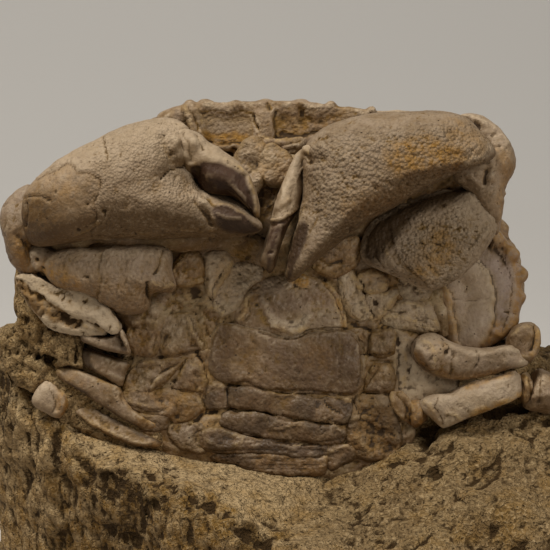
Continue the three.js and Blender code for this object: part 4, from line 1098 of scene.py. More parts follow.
# Ridges, grooves, pits and knobs that run on over the plates and the rock between them, in sketch
# units, each with its width and its height in millimetres.
BELLY_LINES = [
    ([(193, 316), (197, 328), (203, 338), (207, 347), (205, 352)], 0.35, 0.5),
    ([(187, 318), (192, 332), (198, 341), (204, 349)], 0.35, 0.4),
    ([(190, 317), (195, 330), (201, 340), (206, 349)], 0.25, -0.5),
    ([(201, 350), (205, 362), (209, 374), (212, 382)], 0.35, 0.5),
    ([(195, 355), (199, 366), (205, 377), (208, 383)], 0.3, 0.4),
    ([(198, 352), (202, 364), (207, 376), (210, 383)], 0.25, -0.5),
    ([(160, 356), (176, 354), (188, 353), (199, 350)], 0.35, -0.55),
    ([(176, 380), (183, 370), (190, 361), (196, 366), (203, 376), (207, 384)], 0.35, 0.45),
    ([(171, 388), (180, 372), (189, 358)], 0.3, -0.5), ([(150, 392), (165, 384), (176, 380)], 0.3, -0.35),
    ([(205, 385), (201, 392), (203, 402), (208, 412)], 0.3, 0.45),
    ([(201, 386), (197, 394), (200, 405), (205, 414)], 0.3, 0.35),
    ([(203, 386), (199, 394), (202, 404), (207, 413)], 0.22, -0.45),
    ([(208, 392), (213, 386), (222, 385), (227, 393)], 0.4, 0.4), ([(227, 389), (228, 394)], 0.45, -1.5),
    ([(190, 424), (198, 418), (207, 413), (216, 410)], 0.5, -0.9),
    ([(170, 427), (180, 422), (192, 422), (201, 427)], 0.4, 0.4),
    ([(202, 311), (212, 309), (222, 312)], 0.3, 0.45), ([(203, 312), (207, 326), (211, 338)], 0.3, 0.4),
    ([(222, 313), (218, 327), (211, 338)], 0.3, 0.4), ([(207, 303), (213, 308), (218, 306)], 0.4, 0.55),
    ([(213, 298), (218, 303)], 0.3, -0.6), ([(229, 267), (220, 281), (215, 293), (214, 303)], 0.35, 0.4),
    ([(224, 271), (216, 285), (212, 299)], 0.35, -0.9),
    ([(209, 258), (209, 270), (212, 285), (214, 297)], 0.4, 0.3),
    ([(227, 258), (230, 264), (225, 274)], 0.5, 0.4),
    ([(168, 283), (171, 271), (177, 261), (184, 254)], 0.3, -0.5),
    ([(171, 284), (174, 272), (180, 262)], 0.35, 0.35),
    ([(170, 288), (182, 285), (195, 283), (203, 280)], 0.35, 0.4),
    ([(183, 291), (192, 285), (205, 282), (210, 289), (202, 303), (190, 300), (183, 291)], 0.35, 0.5),
    ([(196, 292)], 1.2, -0.9), ([(157, 335), (155, 345), (152, 353)], 0.4, -0.7),
    ([(164, 338), (162, 350)], 0.3, -0.4), ([(133, 325), (146, 321), (156, 324)], 0.5, 0.4),
    ([(130, 371), (140, 364), (155, 362), (164, 366)], 0.4, 0.4),
    ([(150, 391), (153, 381), (163, 372), (178, 363)], 0.28, -0.5),
    ([(153, 391), (157, 382), (166, 374), (180, 366)], 0.3, 0.4), ([(146, 383)], 0.5, -0.5),
    ([(122, 393), (135, 389), (148, 391)], 0.4, 0.45),
    ([(125, 404), (140, 410), (152, 412), (168, 408)], 0.35, -0.55),
    ([(128, 401), (142, 406), (158, 406)], 0.4, 0.35), ([(216, 338), (214, 352), (216, 366)], 0.3, 0.25),
    ([(274, 298), (272, 312), (273, 326)], 0.5, 0.3), ([(308, 300), (309, 314), (306, 326)], 0.5, 0.3),
    ([(273, 327), (282, 330), (294, 331), (306, 327)], 0.5, 0.5),
    ([(258, 331), (270, 335), (281, 339), (292, 339), (301, 335), (309, 331), (330, 329), (346, 328)], 0.35,
     -0.7),
    ([(257, 305)], 0.45, -0.8), ([(252, 290), (257, 287)], 0.35, -0.5),
    ([(248, 300), (250, 312), (246, 320)], 0.3, -0.35),
    ([(328, 283), (335, 293), (341, 305), (344, 318), (345, 326)], 0.3, 0.55),
    ([(321, 284), (330, 294), (336, 306), (339, 320)], 0.3, 0.4),
    ([(325, 285), (333, 295), (338, 306), (341, 320)], 0.22, -0.5),
    ([(352, 334), (359, 344), (361, 360), (360, 375), (357, 386)], 0.3, -0.5),
    ([(357, 335), (363, 346), (365, 362), (362, 378)], 0.35, 0.35),
    ([(228, 384), (245, 383), (262, 388), (284, 391), (310, 392), (330, 394), (352, 395)], 0.35, -0.6),
    ([(262, 386), (272, 391), (281, 395), (291, 395), (297, 392)], 0.35, 0.6),
    ([(230, 408), (250, 411), (270, 416), (300, 420), (325, 421), (345, 424)], 0.3, -0.6),
    ([(325, 398), (338, 397), (349, 400), (350, 412), (344, 421)], 0.3, 0.5),
    ([(325, 400), (330, 407), (339, 412)], 0.3, -0.7),
    ([(229, 411), (247, 412), (258, 415), (266, 422), (275, 429), (288, 426), (303, 421), (320, 420),
      (333, 424), (344, 434)], 0.3, 0.55),
    ([(268, 421)], 0.35, -0.8),
    ([(243, 433), (262, 438), (285, 441), (310, 442), (330, 440), (344, 438)], 0.3, -0.5),
    ([(244, 440), (270, 441), (300, 443), (328, 446)], 0.22, -0.35),
    ([(215, 450), (240, 450), (270, 449), (300, 450), (326, 450)], 0.22, -0.45),
    ([(205, 433), (212, 429), (222, 431), (235, 436), (243, 439)], 0.35, 0.45),
    ([(206, 436), (209, 442), (218, 445), (231, 446), (242, 442)], 0.35, 0.4), ([(213, 437)], 0.5, -0.6),
    ([(224, 438), (233, 441)], 0.4, -0.4), ([(215, 456), (250, 458), (290, 459), (322, 458)], 0.2, -0.35),
    ([(222, 461), (260, 464), (300, 464), (321, 463)], 0.2, -0.3),
    ([(235, 467), (270, 469), (310, 468)], 0.2, -0.25), ([(323, 443), (325, 455), (323, 467)], 0.4, 0.5),
    ([(328, 452), (340, 450), (350, 445)], 0.4, 0.4),
    ([(352, 273), (358, 287), (364, 302), (370, 317)], 0.35, 0.5),
    ([(356, 271), (362, 287), (368, 303), (373, 316)], 0.28, -0.6),
    ([(340, 280), (344, 296), (350, 311), (358, 321)], 0.35, -0.6),
    ([(357, 280), (362, 274), (374, 272), (384, 280), (382, 289), (369, 291), (359, 287), (357, 280)], 0.35,
     0.5),
    ([(370, 282)], 1.6, -0.5), ([(375, 303)], 0.9, -1.3),
    ([(363, 297), (372, 293), (384, 295), (396, 290)], 0.35, 0.5),
    ([(372, 328), (380, 318), (388, 306), (398, 292)], 0.35, 0.55),
    ([(363, 300), (369, 310), (374, 318)], 0.3, -0.5), ([(371, 323)], 0.9, 0.7),
    ([(352, 323), (362, 328), (371, 329)], 0.4, -0.9),
    ([(398, 305), (410, 302), (425, 309), (438, 325)], 0.35, 0.45),
    ([(378, 326), (390, 317), (405, 318), (420, 325), (435, 330)], 0.4, 0.45),
    ([(384, 309), (392, 313), (404, 312)], 0.35, -0.5), ([(404, 284), (412, 278), (422, 280)], 0.35, 0.5),
    ([(415, 288)], 1.0, -0.9), ([(373, 333), (390, 332), (391, 351), (372, 352), (373, 333)], 0.28, 0.4),
    ([(370, 330), (369, 345), (368, 354)], 0.28, -0.6), ([(363, 355), (376, 355), (391, 354)], 0.35, -0.8),
    ([(372, 362), (388, 363)], 0.3, -0.5), ([(373, 358), (388, 359)], 0.3, 0.3),
    ([(375, 365), (368, 377), (361, 389)], 0.32, 0.5), ([(379, 366), (372, 378), (364, 391)], 0.25, -0.45),
    ([(386, 384)], 1.2, 0.8), ([(393, 333), (394, 350), (395, 370), (396, 390)], 0.35, 0.5),
    ([(397, 335), (399, 350), (399, 370), (400, 388)], 0.35, -0.3),
    ([(404, 340), (405, 360), (404, 385)], 0.5, 0.4), ([(360, 394), (375, 392), (388, 395)], 0.3, -0.6),
    ([(353, 400), (357, 410), (361, 420)], 0.3, -0.5),
    ([(351, 420), (360, 417), (372, 421), (379, 428)], 0.35, 0.5), ([(377, 436)], 1.8, -0.7),
    ([(356, 438), (364, 445), (372, 456)], 0.55, 0.6),
    ([(386, 426), (396, 433), (401, 443), (395, 452)], 0.4, 0.4),
    ([(362, 405), (372, 402), (384, 406)], 0.8, 0.4),
    ([(300, 262), (312, 268), (328, 275), (340, 283)], 0.5, 0.5),
    ([(318, 258), (330, 265), (342, 262)], 0.45, -0.6), ([(331, 250), (340, 255)], 0.6, 0.6),
    ([(347, 268), (356, 262), (360, 252)], 0.4, -0.5), ([(385, 268), (392, 276), (399, 286)], 0.4, 0.5),
    ([(391, 268), (397, 277), (403, 285)], 0.3, -0.5),
]


def draw_belly_lines(clay):
    clay.draw([(points, width, height * 0.75) for points, width, height in BELLY_LINES], BELLY_DEPTH)


def belly_plates():
    for seed, (name, (swell, drawn)) in enumerate(BELLY_PLATES.items()):
        outline = sketch(drawn, BELLY_DEPTH)
        clay = Clay(name, [plate(outline, front=swell - 0.4, fullness=9, grow=0.5, ease=0.3)], 3)
        clay.weather(BELLY_SEED, 0.6, 0.07)
        clay.raise_by(0.4 * rough(clay.co, 3.4, 3, 0.55, seed=BELLY_SEED + 7) * clay.facing())
        draw_belly_lines(clay)
        clay.grains(0.9, 0.02 if "mouthpart" in name else 0.08, 203 + seed)
        clay.pits(1.5, 0.16, 0.3, 205 + seed, 0.3 if name in PAINTED_LIGHT_PLATES else 0.8)
        clay.mark("seam", clay.seam(outline, ease=0.3))
        clay.mark("granule", 0.5)
        clay.mark("matrix", 0.5 * clay.patches(0.1, 0.6, 6, 3, seed=seed))
        low = smoothstep(-22, -34, clay.co[:, 2])
        # Painted light on these plates, which get no painted under shade; the mouthparts are paler and get
        # none either.
        if name in PAINTED_LIGHT_PLATES or "mouthpart" in name:
            clay.mark("pale", 0.4 if "mouthpart" in name else 0.55)
            clay.mark("under", 0.0)
        clay.mark("ochre", (0.4 + 0.4 * low) * clay.patches(0.0, 0.5, 9, 2, seed=seed + 40))
        deep = 0.4 if name == "right_leg_3_base" else 0.0
        clay.mark("shade", deep + 0.25 * low * clay.patches(-0.3, 0.4, 5, 2, seed=seed + 60))
        clay.show("plate", "plate", [name])


# ---------------------------------------------------------------- legs

# Each band: its edge, how far it swells, how it leans, its outline, the strokes on it and the
# part of it in shadow, these three in sketch units.
LEFT_BANDS = {
    "left_leg_2": (-5.6, 3.2, 0.0, [
        (82, 349), (95, 352), (106, 355), (118, 359), (128.5, 362), (129, 366), (124.5, 374), (121.5, 387),
        (112, 382), (104, 376), (94, 371), (84, 366), (80, 358),
    ], [
        ([(107, 372)], 0.4, -0.4), ([(96, 368), (110, 374), (121, 378)], 0.6, 0.3),
    ], [
        (78, 344), (104, 350), (131, 360), (128, 364), (106, 357), (92, 354), (90, 362), (96, 370), (82, 366),
    ]),
    "left_leg_3": (-5.6, 3.0, -0.06, [
        (56, 370), (70, 368), (86, 374), (104, 381), (119, 388), (124, 400), (134, 411), (148, 421),
        (162, 427), (158, 431), (146, 430), (128, 422), (110, 411), (92, 399), (74, 387), (58, 378),
    ], [
        ([(75, 372), (95, 379), (116, 388)], 0.4, 0.25), ([(120, 396), (124, 404)], 0.3, -0.4),
    ], [
        (52, 376), (74, 386), (92, 398), (110, 410), (128, 421), (146, 429), (146, 433), (126, 426),
        (104, 412), (72, 390),
    ]),
    "left_leg_4": (-4.6, 2.2, 0.3, [
        (52, 379), (66, 387), (82, 397), (98, 408), (114, 418), (132, 428), (150, 436), (163, 441),
        (158, 448), (140, 446), (120, 440), (103, 432), (88, 423), (73, 411), (60, 398), (50, 388),
    ], [
        ([(66, 396), (84, 410), (104, 423), (126, 433), (144, 440)], 1.1, -0.3), ([(118, 427)], 0.35, -0.4),
        ([(66, 404), (86, 420), (106, 431), (128, 440), (146, 445)], 0.4, 0.3),
    ], [
        (50, 376), (66, 386), (98, 407), (132, 427), (164, 440), (160, 443), (130, 431), (96, 411), (64, 391),
    ]),
}


def left_bands():
    """The left legs that lie half sunk in the matrix, as flat worn bands."""
    for seed, (name, (edge, swell, lean, drawn, strokes, shade)) in enumerate(LEFT_BANDS.items()):
        outline = sketch(drawn, edge - swell)
        band = plate(outline, edge, swell, 3, lean, fullness=3.6, grow=0.1, ease=0.35)
        clay = Clay(name, [band], 3, drawn=True)
        clay.weather(300 + seed * 7, 0.2, 0.08)
        clay.mark("shade", 0.85 * clay.inside(shade, 0.35))
        clay.draw(strokes)
        clay.grains(0.9, 0.09, 303 + seed)
        clay.pits(1.5, 0.25, 0.45, 305 + seed)
        low_end = smoothstep(-30, -27, on_sheet(clay.co)[:, 0])
        clay.mark("ochre", 0.7 * low_end + 0.35 * clay.patches(0.0, 0.5, 6, 3, seed=310 + seed))
        clay.mark("seam", 0.4 * clay.seam(sketch(drawn), 1.2, ease=0.35))
        clay.show("plate", "shell", [name])


def right_second_end():
    clay = Clay("right_leg_2_end", [
        limb([[58, -5, -25.5], [62, -4, -27], [68, -2, -29.5]], [9.5, 9, 6.5], [10, 10, 8], blunt=8),
    ], 3)
    clay.weather(321, 0.35, 0.1)
    clay.stroke([([[58.6, -27.6], [62, -27], [66, -29]], 0.7, 0.4), ([[60, -22.8], [59.4, -29]], 0.4, -0.5)])
    clay.grains(0.9, 0.08, 306)
    clay.pits(1.5, 0.2, 0.35, 308)
    clay.show("shell", "shell", ["right_leg_2_end"])


def left_leg_stub():
    outline = [(33, 403), (39, 391), (46, 384), (56, 388), (66, 398), (67, 408), (57, 418), (46, 413)]
    clay = Clay("left_leg_stub", [plate(sketch(outline, -8), -5, 2.6, 3, fullness=3.4, ease=0.35)])
    clay.weather(321, 0.35, 0.1)
    clay.draw([
        ([(50, 389), (54, 400), (52, 412)], 0.35, -0.4), ([(60, 396), (62, 404), (57, 413)], 0.7, 0.4),
    ], -8)
    clay.grains(0.9, 0.08, 322)
    clay.mark("ochre", smoothstep(-50.5, -48, clay.co[:, 0]))
    clay.mark("pale", 0.6 * smoothstep(-48, -51, clay.co[:, 0]))
    clay.show("shell", "shell", ["left_leg_stub"])


def left_first_leg():
    outline = sketch([(80, 333), (92, 336), (104, 338), (114, 336), (121, 333), (126, 343), (129.5, 353.5),
                      (122, 353.5), (112, 351.5), (100, 348), (88, 344), (81, 341)], -11)
    clay = Clay("left_leg_1", [
        plate(outline, -8.2, 3.4, 4, fullness=3.2, grow=0.1, ease=0.3),
        limb([[-34.8, -12, -12.2], [-33.8, -12, -14.6], [-32.4, -11.6, -17.6]], [1.1, 0.8, 0.2], [2, 2, 1],
             blunt=3, grow=0.1),
    ], 1, drawn=True, cell=cell_size() * 0.7)
    clay.weather(331, 0.2, 0.06)
    clay.draw([([(84, 338), (100, 345), (118, 350)], 0.5, 0.25), ([(118, 334), (122, 346)], 0.25, -0.3)])
    clay.grains(0.9, 0.07, 334)
    clay.pits(1.5, 0.2, 0.35, 333)
    spur = clay.inside([(118, 328), (122, 329), (132, 355), (128, 354)], 0.3, 0.1)
    clay.mark("pale", 0.8 * spur)
    clay.mark("enamel", 0.2 * (1 - spur))
    clay.show("shell", "shell", ["left_leg_1"])


def left_crust():
    slab = sketch([(13, 276), (20, 271.5), (28, 270.5), (35, 273), (42, 277), (50, 283), (56, 286), (66, 285),
                   (78, 286), (90, 290), (101, 298), (112, 311), (119, 325), (118, 333), (111, 334),
                   (106, 328), (98, 324), (84, 318), (73, 317), (62, 310), (52, 304), (40, 296), (29, 290),
                   (21, 281)], -13)
    clay = Clay("left_leg_1_crust", [
        plate(slab, -8.6, 4.6, 4, 0.12, fullness=8, grow=0.1, ease=0.3),
        plate(sketch([(14, 279), (24, 279), (34, 289), (52, 300), (73, 312), (90, 320), (106, 329),
                      (104, 335), (90, 335.5), (73, 333.5), (59, 331), (49, 328), (41, 319), (27, 304),
                      (20, 293)], -11), -8, 4.1, 3, fullness=5, ease=0.3),
        plate(sketch([(69, 317), (84, 320), (98, 324.5), (106, 330), (104, 335.6), (90, 336), (76, 334),
                      (72, 326)], -12), -8, 4, 2, fullness=5, grow=0.1, ease=0.3),
        plate(sketch([(41, 318), (50, 321), (62, 326), (76, 328), (78, 334), (60, 331.6), (49, 328)], -12),
              -8, 3.4, 2, fullness=4, grow=0.1, ease=0.3),
    ], 2, drawn=True, cell=cell_size() * 0.9)
    clay.weather(341, 0.5, 0.16)
    torn = clay.inside([(12, 279), (21, 280), (29, 290), (40, 296), (52, 304), (62, 310), (73, 317),
                        (84, 320), (80, 327), (70, 328), (56, 322), (44, 317), (36, 318), (22, 302),
                        (14, 288)], 0.25, 0.7)
    pocket = clay.inside([(50, 313), (60, 311), (72, 317), (84, 321), (82, 327), (70, 327), (56, 321)], 0.6)
    clay.raise_by(-0.3 * pocket - 0.7 * torn * np.abs(rough(clay.co, 2.6, 2, 0.6, seed=344)))
    clay.draw([
        ([(40, 284), (56, 292), (72, 300), (90, 312)], 1.6, -0.3),
        ([(46, 283), (60, 290), (80, 292), (97, 301), (110, 318)], 0.8, 0.25),
        ([(108, 333), (109, 327)], 0.3, -0.7), ([(99, 326), (96, 322), (88, 319)], 0.3, -0.3),
        ([(85, 301)], 0.35, -0.3), ([(110, 309), (116, 320), (119, 330)], 0.35, 0.3),
        ([(84, 324), (92, 327), (102, 330)], 0.4, 0.3),
    ])
    clay.grains(0.9, 0.14, 342, 0.2 + torn)
    clay.pits(1.4, 0.3, 0.4, 343)
    clay.mark("pale", (1 - torn) * 0.3 * clay.facing())
    clay.mark("ochre", torn * 0.7)
    # Painted shade in the broken pocket; the torn face darker.
    clay.mark("shade", 0.4 * pocket + 0.2 * torn)
    clay.mark("under", 0.25 + 0.75 * torn)
    clay.show("crust", "crust", ["left_leg_1_crust"])


def right_first_arm():
    shaft = [(414, 349), (418, 340), (428, 335), (440, 337), (449, 341), (457, 345), (466, 349), (478, 350),
             (492, 349), (505, 346), (514, 345), (522, 351), (528, 361), (526, 366), (515, 368), (503, 371),
             (490, 375), (475, 378), (458, 379), (445, 377), (432, 374), (421, 367), (415, 358)]
    clay = Clay("right_leg_1_arm", [
        plate(sketch(shaft, -10), -7, 4.8, 5, fullness=2.4, ease=0.4),
        plate(sketch([(414, 349), (418, 340), (428, 335), (440, 337), (449, 344), (450, 356), (444, 367),
                      (434, 373), (422, 367), (415, 358)], -10), -7.4, 5.6, 5, fullness=2.3),
    ], 3, drawn=True)
    clay.weather(351, 0.25, 0.06)
    clay.draw([
        ([(445, 338), (449, 346), (446, 354)], 0.5, -0.5), ([(444, 344)], 0.4, -0.9),
        ([(446, 352)], 0.35, -0.7), ([(452, 350), (452, 362), (449, 374)], 0.6, -0.35),
        ([(476, 351), (478, 357), (475, 366)], 0.2, -0.6),
        ([(424, 341), (432, 345), (436, 354), (432, 364)], 0.5, 0.35), ([(420, 348), (427, 352)], 0.6, 0.4),
        ([(455, 350), (475, 354), (500, 351), (518, 350)], 0.7, 0.35),
        ([(430, 372), (452, 377), (480, 376), (505, 370)], 0.4, 0.3), ([(505, 351), (510, 358)], 0.4, 0.25),
    ])
    ball_end = clay.inside([(412, 349), (420, 337), (440, 334), (452, 343), (450, 362), (436, 377),
                            (418, 368)], 1)
    clay.raise_by(0.35 * rough(clay.co, 3.4, 3, 0.6, seed=355) * ball_end)
    clay.grains(0.9, 0.14, 353, 0.2 + ball_end)
    left_gap = clay.inside([(408, 338), (417, 338), (415, 352), (421, 365), (433, 374), (428, 380),
                            (410, 370)], 0.5)
    clay.pits(1.5, 0.22, 0.4, 352, ball_end)
    # Painted highlight along the top of the shaft.
    clay.mark("pale", 0.45 * smoothstep(-21.5, -17, on_sheet(clay.co)[:, 1]))
    low = clay.inside([(414, 352), (424, 370), (445, 378), (480, 379), (505, 373), (505, 367), (478, 372),
                       (446, 371), (430, 366), (420, 352)], 0.5)
    clay.mark("ochre", 0.7 * low + 0.3 * ball_end * clay.patches(0, 0.4, 3, 2, seed=356))
    # Painted shade in the gap at the left of the ball end.
    clay.mark("shade", 0.7 * left_gap + 0.08)
    clay.mark("enamel", 0.15 * (1 - ball_end))
    clay.mark("under", 0.4 + 0.6 * low)
    clay.show("shell", "shell", ["right_leg_1_arm"])


def right_first_end():
    knob = [(509, 347), (511, 336), (516, 328), (524, 325), (533, 324), (539, 329), (540, 340), (537, 352),
            (530, 362), (520, 359), (512, 353)]
    clay = Clay("right_leg_1_end", [
        plate(sketch(knob, -8), -4, 5.4, 5, fullness=4.6, ease=0.25),
    ], 3, drawn=True)
    clay.weather(361, 0.25, 0.1)
    clay.draw([
        ([(534, 326), (536, 336), (531, 350)], 0.4, -0.9), ([(538, 330), (538, 344), (532, 358)], 0.45, 0.5),
        ([(512, 352), (520, 356), (528, 359)], 0.5, 0.4), ([(512, 336), (522, 328), (532, 327)], 0.5, 0.35),
    ])
    clay.pits(1.4, 0.25, 0.5, 362)
    clay.mark("shade", 0.2 * clay.facing())
    right_side = clay.inside([(533, 324), (541, 330), (540, 346), (533, 360), (530, 350), (534, 338)], 0.6)
    clay.mark("ochre", 0.15 + 0.8 * right_side)
    clay.mark("enamel", 0.3 * clay.inside([(510, 338), (520, 328), (526, 330), (524, 352), (516, 350)], 1))
    clay.show("plate", "plate", ["right_leg_1_end"])


def right_second_base():
    crescent = [(391, 392), (398, 391), (405, 396), (409, 404), (410, 414), (408, 423), (401, 419),
                (395, 411), (391, 401)]
    lobe = [(407, 408), (412, 402), (420, 402), (426, 408), (428, 416), (423, 425), (416, 428), (409, 424)]
    clay = Clay("right_leg_2_base", [
        plate(sketch(crescent, BELLY_DEPTH), -4.6, 3.6, 3, fullness=2.6, ease=0.4),
        plate(sketch(lobe, BELLY_DEPTH), -4.4, 4, 3, fullness=2.6, ease=0.4),
    ], 3, drawn=True)
    clay.weather(371, 0.35, 0.12)
    clay.draw([
        ([(393, 393), (392, 402), (397, 412), (405, 421)], 0.35, 0.6),
        ([(398, 394), (404, 402), (406, 412), (405, 419)], 0.4, -0.7),
        ([(403, 393), (409, 402), (411, 412)], 0.35, 0.5), ([(416, 405), (419, 413), (415, 422)], 0.6, 0.5),
        ([(410, 407), (409, 416), (411, 424)], 0.3, -0.6), ([(422, 408), (424, 416)], 0.4, -0.4),
    ])
    clay.pits(1.4, 0.25, 0.4, 372)
    clay.mark("ochre", 0.35 + 0.5 * clay.inside(lobe, 1))
    clay.mark("enamel", 0.35 * clay.inside([(396, 393), (404, 400), (407, 414), (402, 416), (396, 405)], 0.6))
    clay.show("plate", "plate", ["right_leg_2_base"])


def right_second_arm():
    shaft = [(421, 402), (428, 398), (436, 395), (448, 394), (457, 391), (465, 386), (474, 382), (485, 379),
             (497, 376), (509, 372), (517, 371), (522, 380), (523, 392), (517, 399), (505, 404), (490, 410),
             (473, 417), (456, 424), (444, 428), (437, 422), (430, 416), (423, 411)]
    clay = Clay("right_leg_2_arm", [
        plate(sketch(shaft, -10), -6.6, 4.8, 5, fullness=2.5, ease=0.4),
    ], 3, drawn=True)
    clay.weather(381, 0.25, 0.06)
    clay.draw([
        ([(437, 395), (436, 403), (434, 409), (439, 415), (443, 424)], 0.22, -0.4),
        ([(456, 404), (465, 409), (471, 416)], 0.22, -0.3), ([(447, 412), (455, 414), (461, 420)], 0.3, 0.3),
        ([(470, 414), (490, 406), (508, 400), (520, 394)], 0.5, 0.4),
        ([(424, 402), (430, 405), (431, 413)], 0.5, 0.3),
    ])
    clay.grains(0.8, 0.06, 382)
    clay.pits(1.6, 0.15, 0.3, 383)
    low = clay.inside([(470, 413), (490, 405), (508, 398), (522, 391), (523, 396), (508, 404), (490, 412),
                       (474, 420)], 0.4)
    top = clay.inside([(466, 384), (490, 376), (518, 369), (519, 375), (492, 381), (470, 389)], 0.5)
    near_end = clay.inside([(420, 404), (434, 410), (444, 428), (434, 424)], 1)
    clay.mark("ochre", low + 0.6 * top + 0.4 * near_end)
    clay.mark("pale", 0.45 * (1 - low) * (1 - top) * clay.facing())
    clay.mark("under", 0.4 * low)
    clay.show("shell", "shell", ["right_leg_2_arm"])


def right_second_joint():
    joint = [(520, 377), (526, 374), (531, 379), (534, 387), (533, 397), (529, 405), (523, 402), (520, 393),
             (522, 386)]
    clay = Clay("right_leg_2_joint", [
        plate(sketch(joint, -8), -4.6, 4.4, 4, fullness=2.6, ease=0.4),
    ], 3, drawn=True)
    clay.weather(391, 0.35, 0.1)
    clay.draw([
        ([(525, 378), (528, 388), (526, 400)], 0.5, 0.5), ([(521, 384), (524, 392)], 0.35, -0.6),
        ([(530, 381), (531, 394)], 0.3, -0.5),
    ])
    clay.pits(1.4, 0.2, 0.4, 392)
    clay.mark("ochre", 0.3 + 0.5 * clay.inside([(518, 374), (530, 374), (530, 380), (520, 382)], 0.8))
    clay.show("plate", "plate", ["right_leg_2_joint"])


# ---------------------------------------------------------------- body

def underside():
    clay = Clay("underside", [
        plate([[31, -17], [32, -30], [30, -42], [18.5, -46], [5.5, -47.6], [-5.5, -47.2], [-16, -44],
               [-24, -41.5], [-36, -34], [-38, -25], [-36, -17], [-33, -11], [-34, -2], [-48, 6], [-50, 16],
               [-46, 22], [-26, 25.5], [-8, 26], [-2, 27], [6, 27], [20, 26], [38, 25], [46, 22], [48, 18],
               [42, 8], [36, -1], [37, -10]], 0.7, 7.15, 2, fullness=10),
        limb([[36.6, -2, -3], [37.6, -2, -9], [38.6, -2, -14.5]], [3.4, 3.4, 3.4], [9, 9, 9]),
        limb([[-51, -8, 7.4], [-36, -9, 8], [-20, -8.6, 8.6], [-5, -6, 8.8]], [4.6, 5, 5, 4],
             [15, 15, 12, 10]),
        plate(sketch([(104, 300), (130, 296), (158, 304), (175, 312), (166, 334), (132, 334), (118, 324)],
                     -8), -2, 6, 3, fullness=3),
        plate(sketch([(396, 350), (430, 358), (455, 378), (470, 384), (445, 396), (420, 402), (400, 392)]),
              -1, 5.4, 3, fullness=3.4),
    ])
    co = clay.co
    clay.weather(BELLY_SEED, 0.6, 0.1)
    clay.raise_by(0.4 * rough(co, 3.4, 3, 0.55, seed=BELLY_SEED + 7) * clay.facing())
    brow = smoothstep(30, 33, co[:, 2])
    throat = clay.within([[-5, 24], [3, 22], [4, 12], [1, 8], [-3, 8], [-5.6, 14]], 2)
    left_gap = clay.within([[-48, 8.5], [-20, 9.5], [-2, 10], [-2, 7], [-20, 6.4], [-48, 6]], 1.2)
    right_gap = clay.within([[20, 10], [36, 19], [42, 18], [28, 6], [21, 3]], 2)
    clay.raise_by(-2.2 * throat - 1.8 * left_gap - 1.5 * right_gap)
    slot = [(122, 389), (126, 373), (128, 358), (133, 357), (132, 372), (127, 391)]
    slot = clay.inside(slot, 0.4, depth=-5)
    clay.raise_by(-1.5 * slot)
    draw_belly_lines(clay)
    fill = clay.inside([(396, 335), (412, 343), (417, 362), (432, 376), (460, 381), (472, 384), (455, 393),
                        (435, 395), (414, 403), (402, 392), (397, 370)], 1.2, depth=-6)
    lane = clay.within([[-52, 11], [-20, 12], [2, 13], [3, 5], [-20, 4], [-52, 5]], 1.5)
    claw_shadow = clay.within([[-54, 10], [-20, 11], [0, 12], [2, 8], [-20, 8], [-54, 7.6]], 0.8)
    # Painted shadow in the slot between the legs and under the left claw.
    clay.mark("shade", slot + 0.5 * claw_shadow)
    clay.co = clay.co + (clay.blurred(clay.co, 24) - clay.co) * lane[:, None]
    clay.grains(1.1, 0.16, 403, (1 - 0.7 * brow) * (1 - lane))
    clay.grains(0.7, 0.07, 404)
    clay.pits(1.6, 0.3, 0.4, 405, (1 - 0.7 * brow) * (1 - lane) * (1 - fill) * smoothstep(30, 26, co[:, 0]))
    clay.mark("matrix", smoothstep(-0.3, 0.4, rough(co, 7, 3, seed=406)) * (1 - brow) * (1 - 0.5 * fill))
    # The sandy fill between the right legs: a pale tone that is partly painted light, and no painted under
    # shade.
    clay.mark("pale", fill)
    clay.mark("under", 1 - fill)
    clay.mark("seam", 0.35 * smoothstep(0.4, -0.2, rough(co, 6, 2, seed=408)))
    clay.mark("ochre", 0.5 * smoothstep(0.1, 0.6, rough(co, 10, 2, seed=407)))
    clay.show("plate", "plate", ["underside"])


FRONT_KNOBS = [(190, 105, 6), (205, 104, 7), (236, 105, 6), (266, 101, 6), (301, 105, 8), (331, 106, 6),
               (372, 111, 5)]


